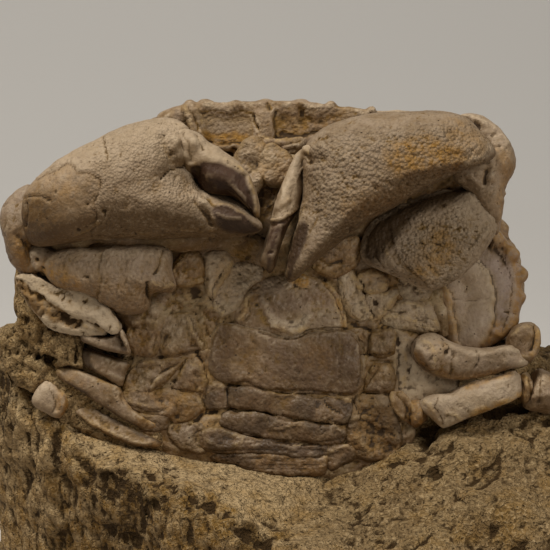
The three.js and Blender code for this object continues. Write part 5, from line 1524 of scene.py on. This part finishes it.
def front_edge():
    """The front margin of the shell, with its knobs, and the hollows of the eyes below it."""
    depth = -1
    left_eye = sketch([(200, 118), (213, 114), (226, 118), (250, 117), (254, 126), (250, 137), (228, 140),
                       (205, 137)], depth)
    right_eye = sketch([(279, 114), (296, 112), (318, 113), (342, 112), (334, 124), (318, 132), (300, 133),
                        (281, 131)], depth)
    clay = Clay("front_edge", [
        limb([[-30, 6, 34.6], [-22, 4, 35.4], [-15.6, 3, 36.7], [-11, 3, 36.6], [-6, 2.6, 36.7],
              [-1.5, 2.4, 37.2], [6, 2.6, 36.9], [14, 3, 36.4], [24, 4, 35.2], [30, 5, 35.2], [36, 7, 33]],
             [4.4, 5, 5.2, 4.6, 5.4, 5, 4.6, 5.2, 4.6, 5, 4.2],
             [7, 7.6, 6.6, 7.4, 6.8, 7.4, 7.8, 6.8, 7.4, 7, 7]),
        plate(sketch([(160, 113), (185, 105), (220, 104), (250, 103), (280, 102), (320, 105), (366, 111),
                      (356, 128), (300, 146), (262, 148), (230, 150), (190, 142), (160, 128)], depth), 2.6,
              3.4, 1, fullness=9),
        plate(sketch([(184, 108), (194, 105), (202, 118), (204, 138), (194, 142), (187, 130)], depth), 1.4, 4,
              3, fullness=3.4),
        plate(sketch([(255, 112), (268, 108), (276, 114), (276, 140), (262, 145), (254, 138)], depth), 1.4,
              3.6, 3, fullness=3.4),
        plate(sketch([(236, 160), (238, 148), (252, 141), (275, 142), (300, 138), (306, 146), (294, 156),
                      (276, 158), (256, 156)], depth), 1, 4.4, 3, fullness=3.4),
        plate(sketch([(160, 128), (166, 114), (184, 108), (188, 124), (178, 132)], depth), 1.4, 3.6, 3,
              fullness=3.4),
        *(plate(sketch([(x - r, y), (x, y - r), (x + r, y), (x, y + r)], 1), 1.4, 2.2, 3, fullness=2, grow=0)
          for x, y, r in FRONT_KNOBS),
    ])
    clay.weather(421, 0.25, 0.05)
    clay.draw([
        ([(207, 103)], 1.0, 0.6), ([(238, 104)], 1.0, 0.6), ([(262, 102)], 1.0, 0.7),
        ([(300, 105)], 1.1, 0.8), ([(330, 106)], 1.0, 0.6), ([(288, 105), (300, 108), (316, 107)], 1.6, 0.5),
        ([(214, 106), (228, 108), (242, 106)], 1.8, 0.5), ([(371, 111)], 1.0, 0.6), ([(392, 112)], 0.9, 0.6),
        ([(418, 110)], 1.1, 0.7), ([(200, 114), (214, 111), (227, 115), (240, 112), (252, 114)], 0.4, -0.3),
        ([(253, 115), (255, 122), (259, 129)], 0.3, -0.9), ([(276, 112), (277, 126), (276, 138)], 0.4, -0.5),
        ([(190, 107), (195, 118), (198, 130)], 0.4, -0.5), ([(186, 108), (190, 120), (193, 134)], 0.5, 0.5),
        ([(198, 110), (201, 122), (203, 136)], 0.5, 0.5), ([(203, 140), (226, 143), (250, 140)], 0.5, -0.6),
        ([(272, 146), (280, 149)], 0.8, -1.4), ([(234, 150), (240, 155)], 0.7, -1.2),
        ([(246, 156), (256, 149), (268, 147)], 0.5, 0.6), ([(258, 152), (275, 153), (294, 150)], 0.4, -0.6),
        ([(260, 138), (280, 141), (302, 137)], 0.4, 0.5), ([(262, 144), (282, 145), (300, 142)], 0.35, -0.5),
        ([(295, 120), (300, 127)], 0.5, 0.4), ([(268, 104), (270, 109)], 0.6, -0.5),
        ([(300, 110), (303, 116)], 0.5, -0.4), ([(282, 134), (300, 136), (322, 131)], 0.5, -0.5),
    ], depth)
    inside = clay.within(left_eye, 0.6, 0.3)
    clay.co = clay.co + (clay.blurred(clay.co, 14) - clay.co) * inside[:, None]
    clay.raise_by(-0.35 * inside - 0.5 * clay.within(right_eye, 2.2, 0.8))
    bare = 1 - inside
    clay.grains(0.9, 0.06, 422, bare)
    clay.pits(1.5, 0.2, 0.3, 423, 0.5 * bare)
    below = clay.inside([(202, 131), (216, 133), (232, 132), (247, 133), (250, 141), (226, 144), (203, 141)],
                        0.6, depth=depth)
    clay.mark("ochre", below + 0.4 * clay.within(right_eye, 1.5, 1.2))
    clay.mark("under", 0.4 * (1 - inside))
    clay.mark("enamel", 0.25 * clay.within(left_eye, 0.8) * (1 - below) + 0.12 * clay.within(right_eye, 0.8))
    clay.mark("granule", 0.4)
    clay.mark("pale", 0.5 * inside * (1 - below))
    clay.mark("shade", 0.2 * smoothstep(33, 28, clay.co[:, 2]))
    clay.show("front", "shell", [])


FLANK_TEETH = [(506, 239), (521, 254), (529, 274), (527, 297)]


def right_flank():
    """The flank of the shell that turns under below the right claw, with its toothed margin."""
    clay = Clay("right_flank", [
        plate([[38, -2], [41, 3], [48, 7], [51.4, 10.5], [54.6, 5.8], [55.8, 2.4], [56.4, -2.4], [55.9, -8.4],
               [54.8, -12], [48, -16.6], [41, -16.6], [38.6, -9]], 3, 5, 4, lean=0.25, fullness=4.4),
        *(plate(sketch([(x - 16, y - 11), (x - 6, y - 8), (x, y - 1), (x - 3, y + 7), (x - 16, y + 11)]), 2.8,
                3.4, 3, 0.1, fullness=5, grow=0, ease=0.12) for x, y in FLANK_TEETH),
    ], 3)
    clay.weather(431, 0.16, 0.035)
    for points, width, height, reach in [
        ([[41.6, -17.6], [41, -13.8], [40.3, -9.9], [39.6, -5.8], [38.2, -1.4], [37.4, 0.6]], 0.22, 0.8, 3),
        ([[46.6, -17], [49, -11.6], [49.7, -7], [48.9, -0.7], [46.9, 2.2], [44.4, 4]], 0.2, 0.85, 6),
        ([[53, -11], [54.4, -6.9], [54.6, -2.3], [52.9, 3], [50.4, 7.6]], 0.18, -0.35, 3),
    ]:
        clay.ledge(points, width, height, reach)
    clay.stroke([
        ([[44.6, 4.4], [46.9, 3], [48.8, 0], [49.8, -6], [49.4, -11], [47.4, -15.6]], 0.35, 0.5),
        ([[38.4, -1], [39.8, -5.4], [40.4, -10], [41.2, -14], [42, -17.2]], 0.4, 0.6),
        ([[40, -5.6], [44, -6], [48.4, -5.8]], 0.3, -0.12), ([[52.6, -8.6], [55.6, -8.6]], 0.25, -0.3),
        ([[48.8, -12.4], [51.6, -14], [54.6, -11.4]], 0.6, 0.4), ([[46.6, -17], [48.8, -14.6]], 0.6, 0.3),
    ])
    clay.wrinkles(3, 0.1, 432, 1.0, 0.4)
    clay.pits(1.4, 0.12, 0.3, 433)
    edge = clay.within([[50, 9], [53, 5], [54.6, 0], [54.6, -8], [53, -11], [49, -12], [48, -17], [56, -12],
                        [59, -4], [58, 4], [53, 11]], 1.0, 0.9)
    inner = clay.within([[37, 1], [39, 0], [41, -8], [42, -16], [40, -17], [38, -8]], 0.8)
    clay.mark("ochre", 0.85 * edge + 0.7 * inner)
    suture = clay.within([[44.6, 5], [47.4, 3.6], [49.4, 0], [50.4, -6], [50, -11], [47.8, -16],
                          [46.8, -15.4], [48.8, -11], [49, -6], [48, 0], [46, 2.6]], 0.3, 0.4)
    outer = clay.within([[45, 6], [50, 9], [54, 4], [54.6, -4], [53.6, -10], [50, -12], [50.6, -6],
                         [49.6, 0]], 1.2)
    clay.mark("shade", 0.2 * outer * (1 - edge))
    # Painted light on the inner plate, which the right claw would shade; the suture is pale.
    clay.mark("pale", 0.65 * (1 - edge) * (1 - outer) + 0.8 * suture)
    clay.show("flank", "shell", [])


def carapace():
    outline = [[58, -3], [56.6, -11.5], [51.5, -22], [41.5, -32.5], [29, -40], [15, -44.5], [2.5, -45.5],
               [-11.5, -44], [-25.5, -38.5], [-38, -30], [-47.5, -18], [-53.5, -4], [-54, 8], [-50, 21],
               [-41, 31.5], [-29, 36.6], [-17.5, 39.2], [-1.5, 40.2], [14, 39.2], [29, 37.8], [41, 35],
               [49.5, 27], [52.6, 13], [56.5, 6]]
    teeth = [(-53.6, 6, 2), (-52.6, 13, 2.2), (-50, 20, 2.4), (-45.4, 27, 2.4), (53, 11, 2),
             (51.6, 19, 2.2), (49, 26.6, 2.4), (44, 32.4, 2.2)]
    clay = Clay("carapace", [
        plate(outline, 5, 2, 33.4, fullness=2.2, grow=0),
        *(plate([[x - r, z], [x, z + r], [x + r, z], [x, z - r]], 7, 2.6, 3.2, fullness=2)
          for x, z, r in teeth),
    ], cell=shell_cell_size())
    back = smoothstep(8, 14, clay.co[:, 1])
    both = (-1, 1)
    middle = (1,)
    places = clay.flat(1.2)
    total = np.zeros(len(places))
    for sides, points, width, height in [
        (both, [[24, 31], [19, 20], [11, 9], [9.5, -1], [4, -6], [0, -7]], 1.5, -1.1),
        (both, [[19, 20], [31, 13], [42, 9]], 1.5, -0.9),
        (both, [[9.5, -1], [17, -10], [20, -22]], 1.5, -0.8),
        (middle, [[-12, -27], [0, -30], [12, -27]], 1.5, -0.8),
        (both, [[5, 30], [3, 20], [4, 10]], 1.2, -0.6),
        (both, [[12, 27]], 5, 1.0), (middle, [[0, 3]], 5, 1.2), (middle, [[0, -18]], 6, 1.2),
        (both, [[27, 22]], 5, 0.9), (both, [[25, 0]], 8, 1.1), (both, [[38, 16]], 4, 0.6),
    ]:
        for side in sides:
            path = through([[side * x, z] for x, z in points], False)[::4]
            total += height * np.exp(-((path_distance(places, path) / width) ** 2))
    clay.raise_by(total * back)
    clay.weather(441, 0.55, 0.13)
    clay.grains(1.9, 0.22, 442, back)
    clay.pits(2.6, 0.5, 0.35, 443)
    bare = smoothstep(0.15, 0.3, rough(clay.co, 26, 3, seed=444) + 0.012 * (-clay.co[:, 2] - 10))
    clay.raise_by(0.5 * bare * back * (0.6 + rough(clay.co, 3, 3, seed=445)))
    clay.mark("matrix", bare)
    clay.mark("pale", 0.35 * smoothstep(25, 38, clay.co[:, 2]))
    clay.mark("ochre", 0.5 * clay.patches(0.2, 0.6, 18, 3, seed=446))
    clay.show("shell", "shell", ["carapace"])


# ---------------------------------------------------------------- block of matrix


BLOCK_RIM = [(30, 404), (45, 414), (58, 424), (75, 442), (98, 466), (118, 469), (140, 471), (160, 478),
             (180, 486), (210, 503), (232, 516), (250, 529), (275, 541), (300, 556)]


def matrix_block():
    """The block: a sandy slope under the crab, a rough torn face at the front left and a hollow below it."""
    shape = cad_copy("matrix_block")
    shape.transform(CRAB_PLACE.inverted())
    clay = Clay("matrix_block", [shape], 22, drawn=True, cell=block_cell_size())
    clay.raise_by(0.7)
    co = clay.co
    up = smoothstep(0.35, 0.8, clay.upward())
    front = [*BLOCK_RIM, (300, 640), (-40, 640), (-40, 330), (14, 338), (30, 372), (44, 392)]
    torn = clay.inside(front, 3, 2.5)
    ragged = [(52, 415), *BLOCK_RIM[3:], (300, 640), (60, 640), (48, 520), (54, 470)]
    rough_face = torn * clay.inside(ragged, 4, 2.5)
    hollow = clay.inside([(98, 478), (118, 474), (140, 484), (152, 500), (154, 520), (138, 538), (112, 536),
                          (98, 512)], 3, 3)
    crack = clay.inside([(-6, 330), (8, 340), (14, 372), (17, 402), (12, 432), (2, 440), (-6, 436)], 2, 3)
    swells = 1.9 * rough(co, 18, 3, 0.55, seed=501) * (1 - 0.6 * up)
    bumps = 0.5 * rough(co, 8, 3, 0.55, seed=502) * (1 - 0.3 * up)
    clay.raise_by(swells + bumps)
    clay.draw([
        (BLOCK_RIM, 1.0, 0.9), ([(across - 2, down + 9) for across, down in BLOCK_RIM], 1.8, -0.5),
        ([(152, 478), (176, 492), (200, 503), (222, 520)], 0.7, -0.8),
        ([(160, 490), (186, 503), (206, 517)], 0.9, 0.7),
        ([(56, 430), (54, 460), (60, 492), (66, 530), (64, 560)], 1.2, -1.0),
        ([(46, 420), (46, 460), (50, 500)], 1.6, 0.6),
        ([(22, 360), (30, 400), (27, 440), (34, 480)], 1.4, -0.6), ([(428, 433), (420, 442)], 2.2, -2.4),
        ([(455, 450)], 1.2, 0.8), ([(437, 472)], 1.1, -1.0), ([(465, 475)], 1.2, -0.9),
        ([(518, 468)], 1.3, 0.9), ([(450, 527)], 1.2, -1.0), ([(435, 528)], 1.0, 0.8),
        ([(380, 478), (420, 470), (470, 452), (520, 446)], 2.5, 0.7),
        ([(330, 500), (380, 512), (440, 500)], 3, -0.6),
    ], wobble=0.8)
    strands = rough(clay.co * np.array([1, 1, 0.22]), 2.6, 3, 0.6, seed=503)
    clay.raise_by(0.75 * strands * torn + 0.25 * strands * (1 - up) * (1 - torn))
    clay.grains(2.0, 0.3, 514, 0.3 + 0.7 * torn)
    clay.grains(1.1, 0.16, 516)
    clay.raise_by(0.32 * rough(clay.co, 2.8, 2, 0.6, seed=505) * (0.6 + 0.4 * torn))
    below = clay.inside([*BLOCK_RIM[3:], (290, 575), (250, 560), (205, 528), (150, 508), (100, 492),
                         (76, 470)], 1.5, 1.5)
    knolls = 0.6 * clay.patches(0.3, 0.6, 9, 3, 0.55, seed=513) * (1 - below)
    scoops = (0.45 + 0.65 * up) * clay.patches(0.3, 0.6, 7, 3, 0.6, seed=515)
    clay.raise_by(knolls - scoops * smoothstep(8, 18, clay.co[:, 0]))
    clay.raise_by(-1.3 * hollow - 1.0 * crack - 0.3 * below)
    clay.pits(3.2, 0.3, 0.1, 507, 1 - torn)
    clay.pits(1.9, 0.22, 0.25, 508)
    x = clay.co[:, 0]
    clay.mark("torn", torn + 0.6 * (1 - up) * smoothstep(-0.2, 0.3, rough(co, 20, 2, seed=511)))
    seeps = 0.5 * smoothstep(0.15, 0.6, rough(co, 13, 3, seed=509))
    clay.mark("ochre", 0.75 * rough_face + 0.3 * torn + seeps)
    # Pale: fresh rock, with painted light on what faces up and on the lit left face.
    fresh_and_lit = 0.8 * up * (1 - torn) + torn * (1 - rough_face) + 0.2 * (1 - up)
    fresh_and_lit = fresh_and_lit * (0.3 + 0.7 * smoothstep(20, -15, x)) + 0.35 * rough_face
    lit_left_face = 0.9 * torn * (1 - hollow) * smoothstep(-34, -46, x)
    clay.mark("pale", np.maximum(fresh_and_lit, lit_left_face))
    # Shade: painted shadow in the hollow, the crack and below the rim, the right side darker, and darker
    # stains on the ragged face.
    stains = 0.45 * smoothstep(-0.2, 0.5, rough(co, 12, 2, seed=517))
    stains = (stains + 0.25 * smoothstep(0.0, 0.4, rough(co, 7, 3, seed=512))) * rough_face
    clay.mark("shade", 0.35 * hollow + 0.5 * crack + 0.3 * below + 0.2 * smoothstep(-5, 20, x) + stains)
    clay.show("rock", "rock", ["matrix_block"])


def matrix_lumps():
    """Lumps of matrix that still cling between the legs."""
    clay = Clay("matrix_lumps", [
        plate(sketch([(46, 334), (60, 332), (74, 334), (82.5, 340), (82.5, 355), (83, 369), (72, 369),
                      (60, 367), (50, 361), (46, 348)], -9), -5, 4.6, 4, fullness=6, grow=0.1, ease=0.3),
        plate(sketch([(17, 300), (28, 303), (40, 316), (50, 330), (50, 345), (40, 353), (26, 346), (16, 330),
                      (18, 314)], -6), -3, 4.4, 4, fullness=3.4),
        plate(sketch([(-3, 340), (4, 331), (16, 328), (30, 335), (44, 350), (58, 366), (56, 386), (40, 394),
                      (20, 384), (4, 366)], -5), -2, 3.4, 4, fullness=4),
        plate(sketch([(39, 350), (43, 346), (48, 350), (47, 357), (41, 358)], BELLY_DEPTH), -5, 3, 3,
              fullness=2.4),
        plate(sketch([(38, 383), (60, 360), (85, 345), (128, 350), (136, 395), (168, 428), (170, 446),
                      (120, 450), (75, 428), (48, 408)], -5), 0, 5.6, 4, fullness=6),
        limb([[41.4, -4, -26.4], [44, -5, -24.3], [52.9, -5, -21.9], [57, -4, -21.2]], [1.6, 2.4, 1.6, 1.2],
             [6, 7, 7, 6]),
    ])
    clay.weather(521, 0.6, 0.25)
    clay.raise_by(0.6 * rough(clay.co * np.array([1, 1, 0.5]), 3.2, 3, 0.6, seed=525))
    clay.draw([
        ([(37, 357)], 0.8, -1.8), ([(45, 359), (53, 361)], 0.8, -1.8),
        ([(76, 342), (77, 352), (76, 362)], 0.35, -0.8), ([(24, 300), (28, 316), (24, 330)], 0.7, -0.6),
        ([(33, 312), (38, 326), (34, 340)], 0.8, 0.5),
    ], BELLY_DEPTH, 0.2)
    # Painted shadow in the gap behind the left legs.
    gap = [(84, 342), (100, 347), (132, 354), (134, 390), (120, 390), (126, 366), (104, 356), (84, 352)]
    clay.mark("shade", 0.8 * clay.inside(gap, 0.5, depth=-5))
    clay.grains(1.2, 0.2, 522)
    clay.pits(1.8, 0.5, 0.5, 523)
    clay.mark("pale", 0.3 + 0.5 * smoothstep(35, 40, clay.co[:, 0]))
    clay.mark("ochre", 0.3 * clay.patches(0.1, 0.5, 6, 3, seed=524))
    clay.show("rock", "rock", [])


# ---------------------------------------------------------------- stage

# Metres: where the floor starts to bend up behind the fossil and how tightly, and what the lamps
# point at. Then the camera's focal length in millimetres.
FLOOR_BEND = 0.3
FLOOR_RADIUS = 0.5
LAMP_TARGET = Vector((0, 0, 0.07))
FOCAL_LENGTH = 150
DAYLIGHT = (1.0, 0.96, 0.9)
SKYLIGHT = (1.0, 0.97, 0.93, 1)


def pale_floor():
    """A floor that sweeps up into a wall."""
    bm = bmesh.new()
    bmesh.ops.create_grid(bm, x_segments=1, y_segments=80, size=3)
    for vertex in bm.verts:
        past = max(0.0, vertex.co.y - FLOOR_BEND)
        angle = min(past / FLOOR_RADIUS, math.pi / 2)
        rise = max(0.0, past - FLOOR_RADIUS * math.pi / 2)
        vertex.co.z = FLOOR_RADIUS * (1 - math.cos(angle)) + rise
        vertex.co.y = min(vertex.co.y, FLOOR_BEND) + FLOOR_RADIUS * math.sin(angle)
    mesh = bpy.data.meshes.new("floor")
    bm.to_mesh(mesh)
    bm.free()
    mesh.polygons.foreach_set("use_smooth", np.ones(len(mesh.polygons), bool))
    skin = Finish("pale_floor")
    shader = skin.node("ShaderNodeBsdfPrincipled", {},
                       {"Base Color": stage_settings().floor_colour, "Roughness": 0.9})
    skin.node("ShaderNodeOutputMaterial", {}, {"Surface": shader.outputs[0]})
    mesh.materials.append(skin.material)
    floor = bpy.data.objects.new("floor", mesh)
    bpy.context.collection.objects.link(floor)


def soft_light(name, place, size, power):
    light = bpy.data.lights.new(name, "AREA")
    light.shape = "DISK"
    light.size = size
    light.energy = power
    light.color = DAYLIGHT
    lamp = bpy.data.objects.new(name, light)
    lamp.location = place
    lamp.rotation_euler = (LAMP_TARGET - Vector(place)).to_track_quat("-Z", "Y").to_euler()
    bpy.context.collection.objects.link(lamp)


def camera():
    data = bpy.data.cameras.new("camera")
    data.lens = FOCAL_LENGTH
    data.sensor_width = 36
    data.clip_start = 0.01
    eye = bpy.data.objects.new("camera", data)
    target = Vector((0, 0, BELLY_HEIGHT * MM))
    away = Matrix.Rotation(-LEAN_BACK, 3, "X") @ Vector((0, -1, 0))
    eye.location = target + away * (EYE_DISTANCE * MM)
    eye.rotation_euler = (-away).to_track_quat("-Z", "Y").to_euler()
    bpy.context.collection.objects.link(eye)
    bpy.context.scene.camera = eye


# ---------------------------------------------------------------- add-on

FINISHES = {}


def tint(name, description, default):
    return FloatVectorProperty(name=name, description=description, default=default, subtype="COLOR", min=0,
                               max=1)


class FossilTints(bpy.types.PropertyGroup):
    palm: tint("Palm", "Main tone of the claws' palms", (0.43, 0.32, 0.215))
    palm_second: tint("Palm, second tone", "Patches on the palms", (0.33, 0.235, 0.145))
    shell: tint("Shell", "Main tone of the shell and the legs", (0.37, 0.27, 0.185))
    shell_second: tint("Shell, second tone", "Patches on the shell", (0.28, 0.19, 0.11))
    flank: tint("Flank", "Purplish tone of the shell's flank", (0.48, 0.365, 0.295))
    plate: tint("Plates", "Main tone of the breast plates", (0.322, 0.228, 0.15))
    plate_second: tint("Plates, second tone", "Patches on the breast plates", (0.24, 0.152, 0.073))
    tail: tint("Tail", "Main tone of the tail", (0.24, 0.152, 0.09))
    tail_second: tint("Tail, second tone", "Patches on the tail", (0.19, 0.115, 0.055))
    finger: tint("Fingers", "Main tone of the fingers", (0.36, 0.265, 0.175))
    enamel: tint("Finger enamel", "Dark hard tips of the claws", (0.062, 0.03, 0.017))
    pale_shell: tint("Pale shell", "Worn light patches", (0.45, 0.35, 0.24))
    # Pale crests: rubbed wear, and the painted light on lit tops and crests.
    pale_wear_and_light: tint("Pale crests", "Rubbed edges and ridges", (0.52, 0.4, 0.265))
    ochre: tint("Ochre", "Iron stain", (0.38, 0.195, 0.035))
    ochre_in_hollows: tint("Ochre in hollows", "Iron stain in the seams", (0.27, 0.155, 0.04))
    crest_ochre: tint("Ochre crests", "Iron stain on the raised seams", (0.5, 0.33, 0.13))
    # Dirt: real specks and seams, and the painted shade in grooves and shadows.
    dirt_and_shade: tint("Dirt", "Darkest specks and seams", (0.05, 0.027, 0.01))
    matrix: tint("Clinging matrix", "Rock that still clings to the shell", (0.36, 0.26, 0.135))
    crust: tint("Crust", "Pale crust on the first left leg", (0.43, 0.33, 0.215))
    # Painted shade on what faces forwards and down; the deep one is the same, stronger, on the palms and the
    # tail.
    under_shade: tint("Wash below", "Tone that darkens what faces forwards or down", (0.54, 0.46, 0.36))
    deep_under_shade: tint("Deep wash", "The same, on the palms and the tail", (0.36, 0.285, 0.19))
    rock: tint("Rock", "Main tone of the limestone", (0.285, 0.185, 0.078))
    rock_second: tint("Rock, second tone", "Patches of the limestone", (0.215, 0.133, 0.053))
    rock_ochre: tint("Rock ochre", "Iron stain on the limestone", (0.3, 0.165, 0.037))
    # Pale rock: fresh limestone, and the painted light on its tops and left face.
    pale_rock_and_light: tint("Pale rock", "Fresh light limestone", (0.64, 0.465, 0.25))
    # Rock dirt: real pores, and painted shadows.
    rock_dirt_and_shade: tint("Rock dirt", "Pores and shadows of the limestone", (0.055, 0.03, 0.009))


class FossilSizes(bpy.types.PropertyGroup):
    crab_cell: FloatProperty(
        name="Crab cell", description="Size of the cells that the crab's surfaces are carved in",
        default=0.00048, min=0.0003, unit="LENGTH")
    shell_cell: FloatProperty(name="Shell cell", description="Size of the cells on the shell's back",
                              default=0.0009, min=0.0005, unit="LENGTH")
    block_cell: FloatProperty(name="Block cell", description="Size of the cells on the block",
                              default=0.00088, min=0.0005, unit="LENGTH")


class FossilStage(bpy.types.PropertyGroup):
    floor_colour: tint("Floor", "Colour of the floor", (0.62, 0.60, 0.57))
    key_power: FloatProperty(name="Key light", description="Power of the light above on the left",
                             default=6.1, unit="POWER")
    fill_power: FloatProperty(name="Fill light", description="Power of the light above on the right",
                              default=2.1, unit="POWER")


def cell_size():
    return bpy.context.scene.fossil_sizes.crab_cell / MM * 1


def shell_cell_size():
    return bpy.context.scene.fossil_sizes.shell_cell / MM


def block_cell_size():
    return bpy.context.scene.fossil_sizes.block_cell / MM


def stage_settings():
    return bpy.context.scene.fossil_stage


class MixFinishes(bpy.types.Operator):
    """Mixes the finishes of the shell, the claws, the tail and the rock"""

    bl_idname = "fossil.mix_finishes"
    bl_label = "Mix finishes"

    def execute(self, context):
        # Each finish: its key, main tone, second tone and the painted shade for what faces down, then how
        # rough it is, its share of ochre, the size of its granules, its grit and its gloss.
        tints = context.scene.fossil_tints
        wash = tints.under_shade
        deep = tints.deep_under_shade
        for key, *mix in [
            ("palm", tints.palm, tints.palm_second, deep, 0.5, 0.5, 0.62, 0.8, 0.22),
            ("coarse", tints.palm, tints.palm_second, deep, 0.5, 0.7, 0.8, 0.9, 0.25),
            ("shell", tints.shell, tints.shell_second, wash, 0.5, 0.65, 0.9, 0.8, 0.35),
            ("flank", tints.flank, tints.shell, wash, 0.42, 0.4, 0.9, 0.4, 0.25),
            ("plate", tints.plate, tints.plate_second, wash, 0.48, 0.9, 0.9, 0.7, 0.35),
            ("front", tints.plate, tints.plate_second, deep, 0.55, 0.9, 0.9, 0.7, 0.25),
            ("tail", tints.tail, tints.tail_second, wash, 0.4, 0.8, 0.9, 0.45, 0.4),
            ("finger", tints.finger, tints.palm_second, deep, 0.4, 0.4, 0.9, 0.45, 0.16),
            ("crust", tints.crust, tints.pale_shell, wash, 0.8, 0.5, 0.9, 0.9, 0.2),
        ]:
            FINISHES[key] = fossil_finish("fossil_" + key, tints, *mix)
        FINISHES["rock"] = rock_finish("limestone", tints)
        return {"FINISHED"}


class BuildPieces:
    """What the operators that build pieces share."""

    def execute(self, context):
        for step in self.steps:
            step()
        return {"FINISHED"}


class BuildBlock(BuildPieces, bpy.types.Operator):
    """Builds the block of matrix and the lumps that cling to the crab"""

    bl_idname = "fossil.build_block"
    bl_label = "Matrix block"
    steps = (matrix_block, matrix_lumps)


class BuildShell(BuildPieces, bpy.types.Operator):
    """Builds the carapace, its front edge, its right flank and the underside"""

    bl_idname = "fossil.build_shell"
    bl_label = "Shell and underside"
    steps = (carapace, front_edge, right_flank, underside)


class BuildTail(BuildPieces, bpy.types.Operator):
    """Builds the segments of the tail that is folded on the belly"""

    bl_idname = "fossil.build_tail"
    bl_label = "Tail"
    steps = (telson, broad_segment, narrow_segments)


class BuildBellyPlates(BuildPieces, bpy.types.Operator):
    """Builds the mouthparts, the breast plates and the leg bases"""

    bl_idname = "fossil.build_belly_plates"
    bl_label = "Belly plates"
    steps = (belly_plates,)


class BuildClaws(BuildPieces, bpy.types.Operator):
    """Builds the fingers, palms, wrists and arms of both claws"""

    bl_idname = "fossil.build_claws"
    bl_label = "Claws"
    steps = (
        left_claw_palm, left_claw_finger, left_claw_wrist, left_claw_arm,
        right_claw_palm, right_claw_finger, right_claw_wrist, right_claw_arm,
    )


class BuildLegs(BuildPieces, bpy.types.Operator):
    """Builds the walking legs and the crust on the first left one"""

    bl_idname = "fossil.build_legs"
    bl_label = "Walking legs"
    steps = (
        left_bands, right_second_end, left_leg_stub, left_first_leg, left_crust, right_first_arm,
        right_first_end, right_second_base, right_second_arm, right_second_joint,
    )


class SetStage(bpy.types.Operator):
    """Sets the pale floor, the soft lights and the camera"""

    bl_idname = "fossil.set_stage"
    bl_label = "Stage"

    def execute(self, context):
        settings = stage_settings()
        camera()
        pale_floor()
        soft_light("key", (-0.36, -0.15, 0.84), 0.28, settings.key_power)
        soft_light("fill", (0.5, -0.42, 0.56), 0.35, settings.fill_power)
        world = bpy.data.worlds.new("studio")
        world.use_nodes = True
        sky = world.node_tree.nodes["Background"].inputs
        sky["Color"].default_value = SKYLIGHT
        sky["Strength"].default_value = 0.13
        context.scene.world = world
        context.scene.view_settings.view_transform = "Standard"
        return {"FINISHED"}


class FossilPanel(bpy.types.Panel):
    bl_idname = "VIEW3D_PT_fossil"
    bl_label = "Fossil crab"
    bl_space_type = "VIEW_3D"
    bl_region_type = "UI"
    bl_category = "Fossil"

    def draw(self, context):
        for operator in OPERATORS:
            self.layout.operator(operator.bl_idname)
        for group in (context.scene.fossil_sizes, context.scene.fossil_stage, context.scene.fossil_tints):
            for name in group.__annotations__:
                self.layout.prop(group, name)


OPERATORS = (
    SetStage, MixFinishes, BuildBlock, BuildShell, BuildTail, BuildBellyPlates, BuildClaws, BuildLegs,
)
CLASSES = (FossilTints, FossilSizes, FossilStage, *OPERATORS, FossilPanel)


def register():
    for item in CLASSES:
        bpy.utils.register_class(item)
    bpy.types.Scene.fossil_tints = PointerProperty(type=FossilTints)
    bpy.types.Scene.fossil_sizes = PointerProperty(type=FossilSizes)
    bpy.types.Scene.fossil_stage = PointerProperty(type=FossilStage)


def unregister():
    for name in ("fossil_tints", "fossil_sizes", "fossil_stage"):
        delattr(bpy.types.Scene, name)
    for item in reversed(CLASSES):
        bpy.utils.unregister_class(item)


def main():
    register()
    for operator in OPERATORS:
        group, name = operator.bl_idname.split(".")
        getattr(getattr(bpy.ops, group), name)()
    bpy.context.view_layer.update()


if __name__ == "__main__":
    main()
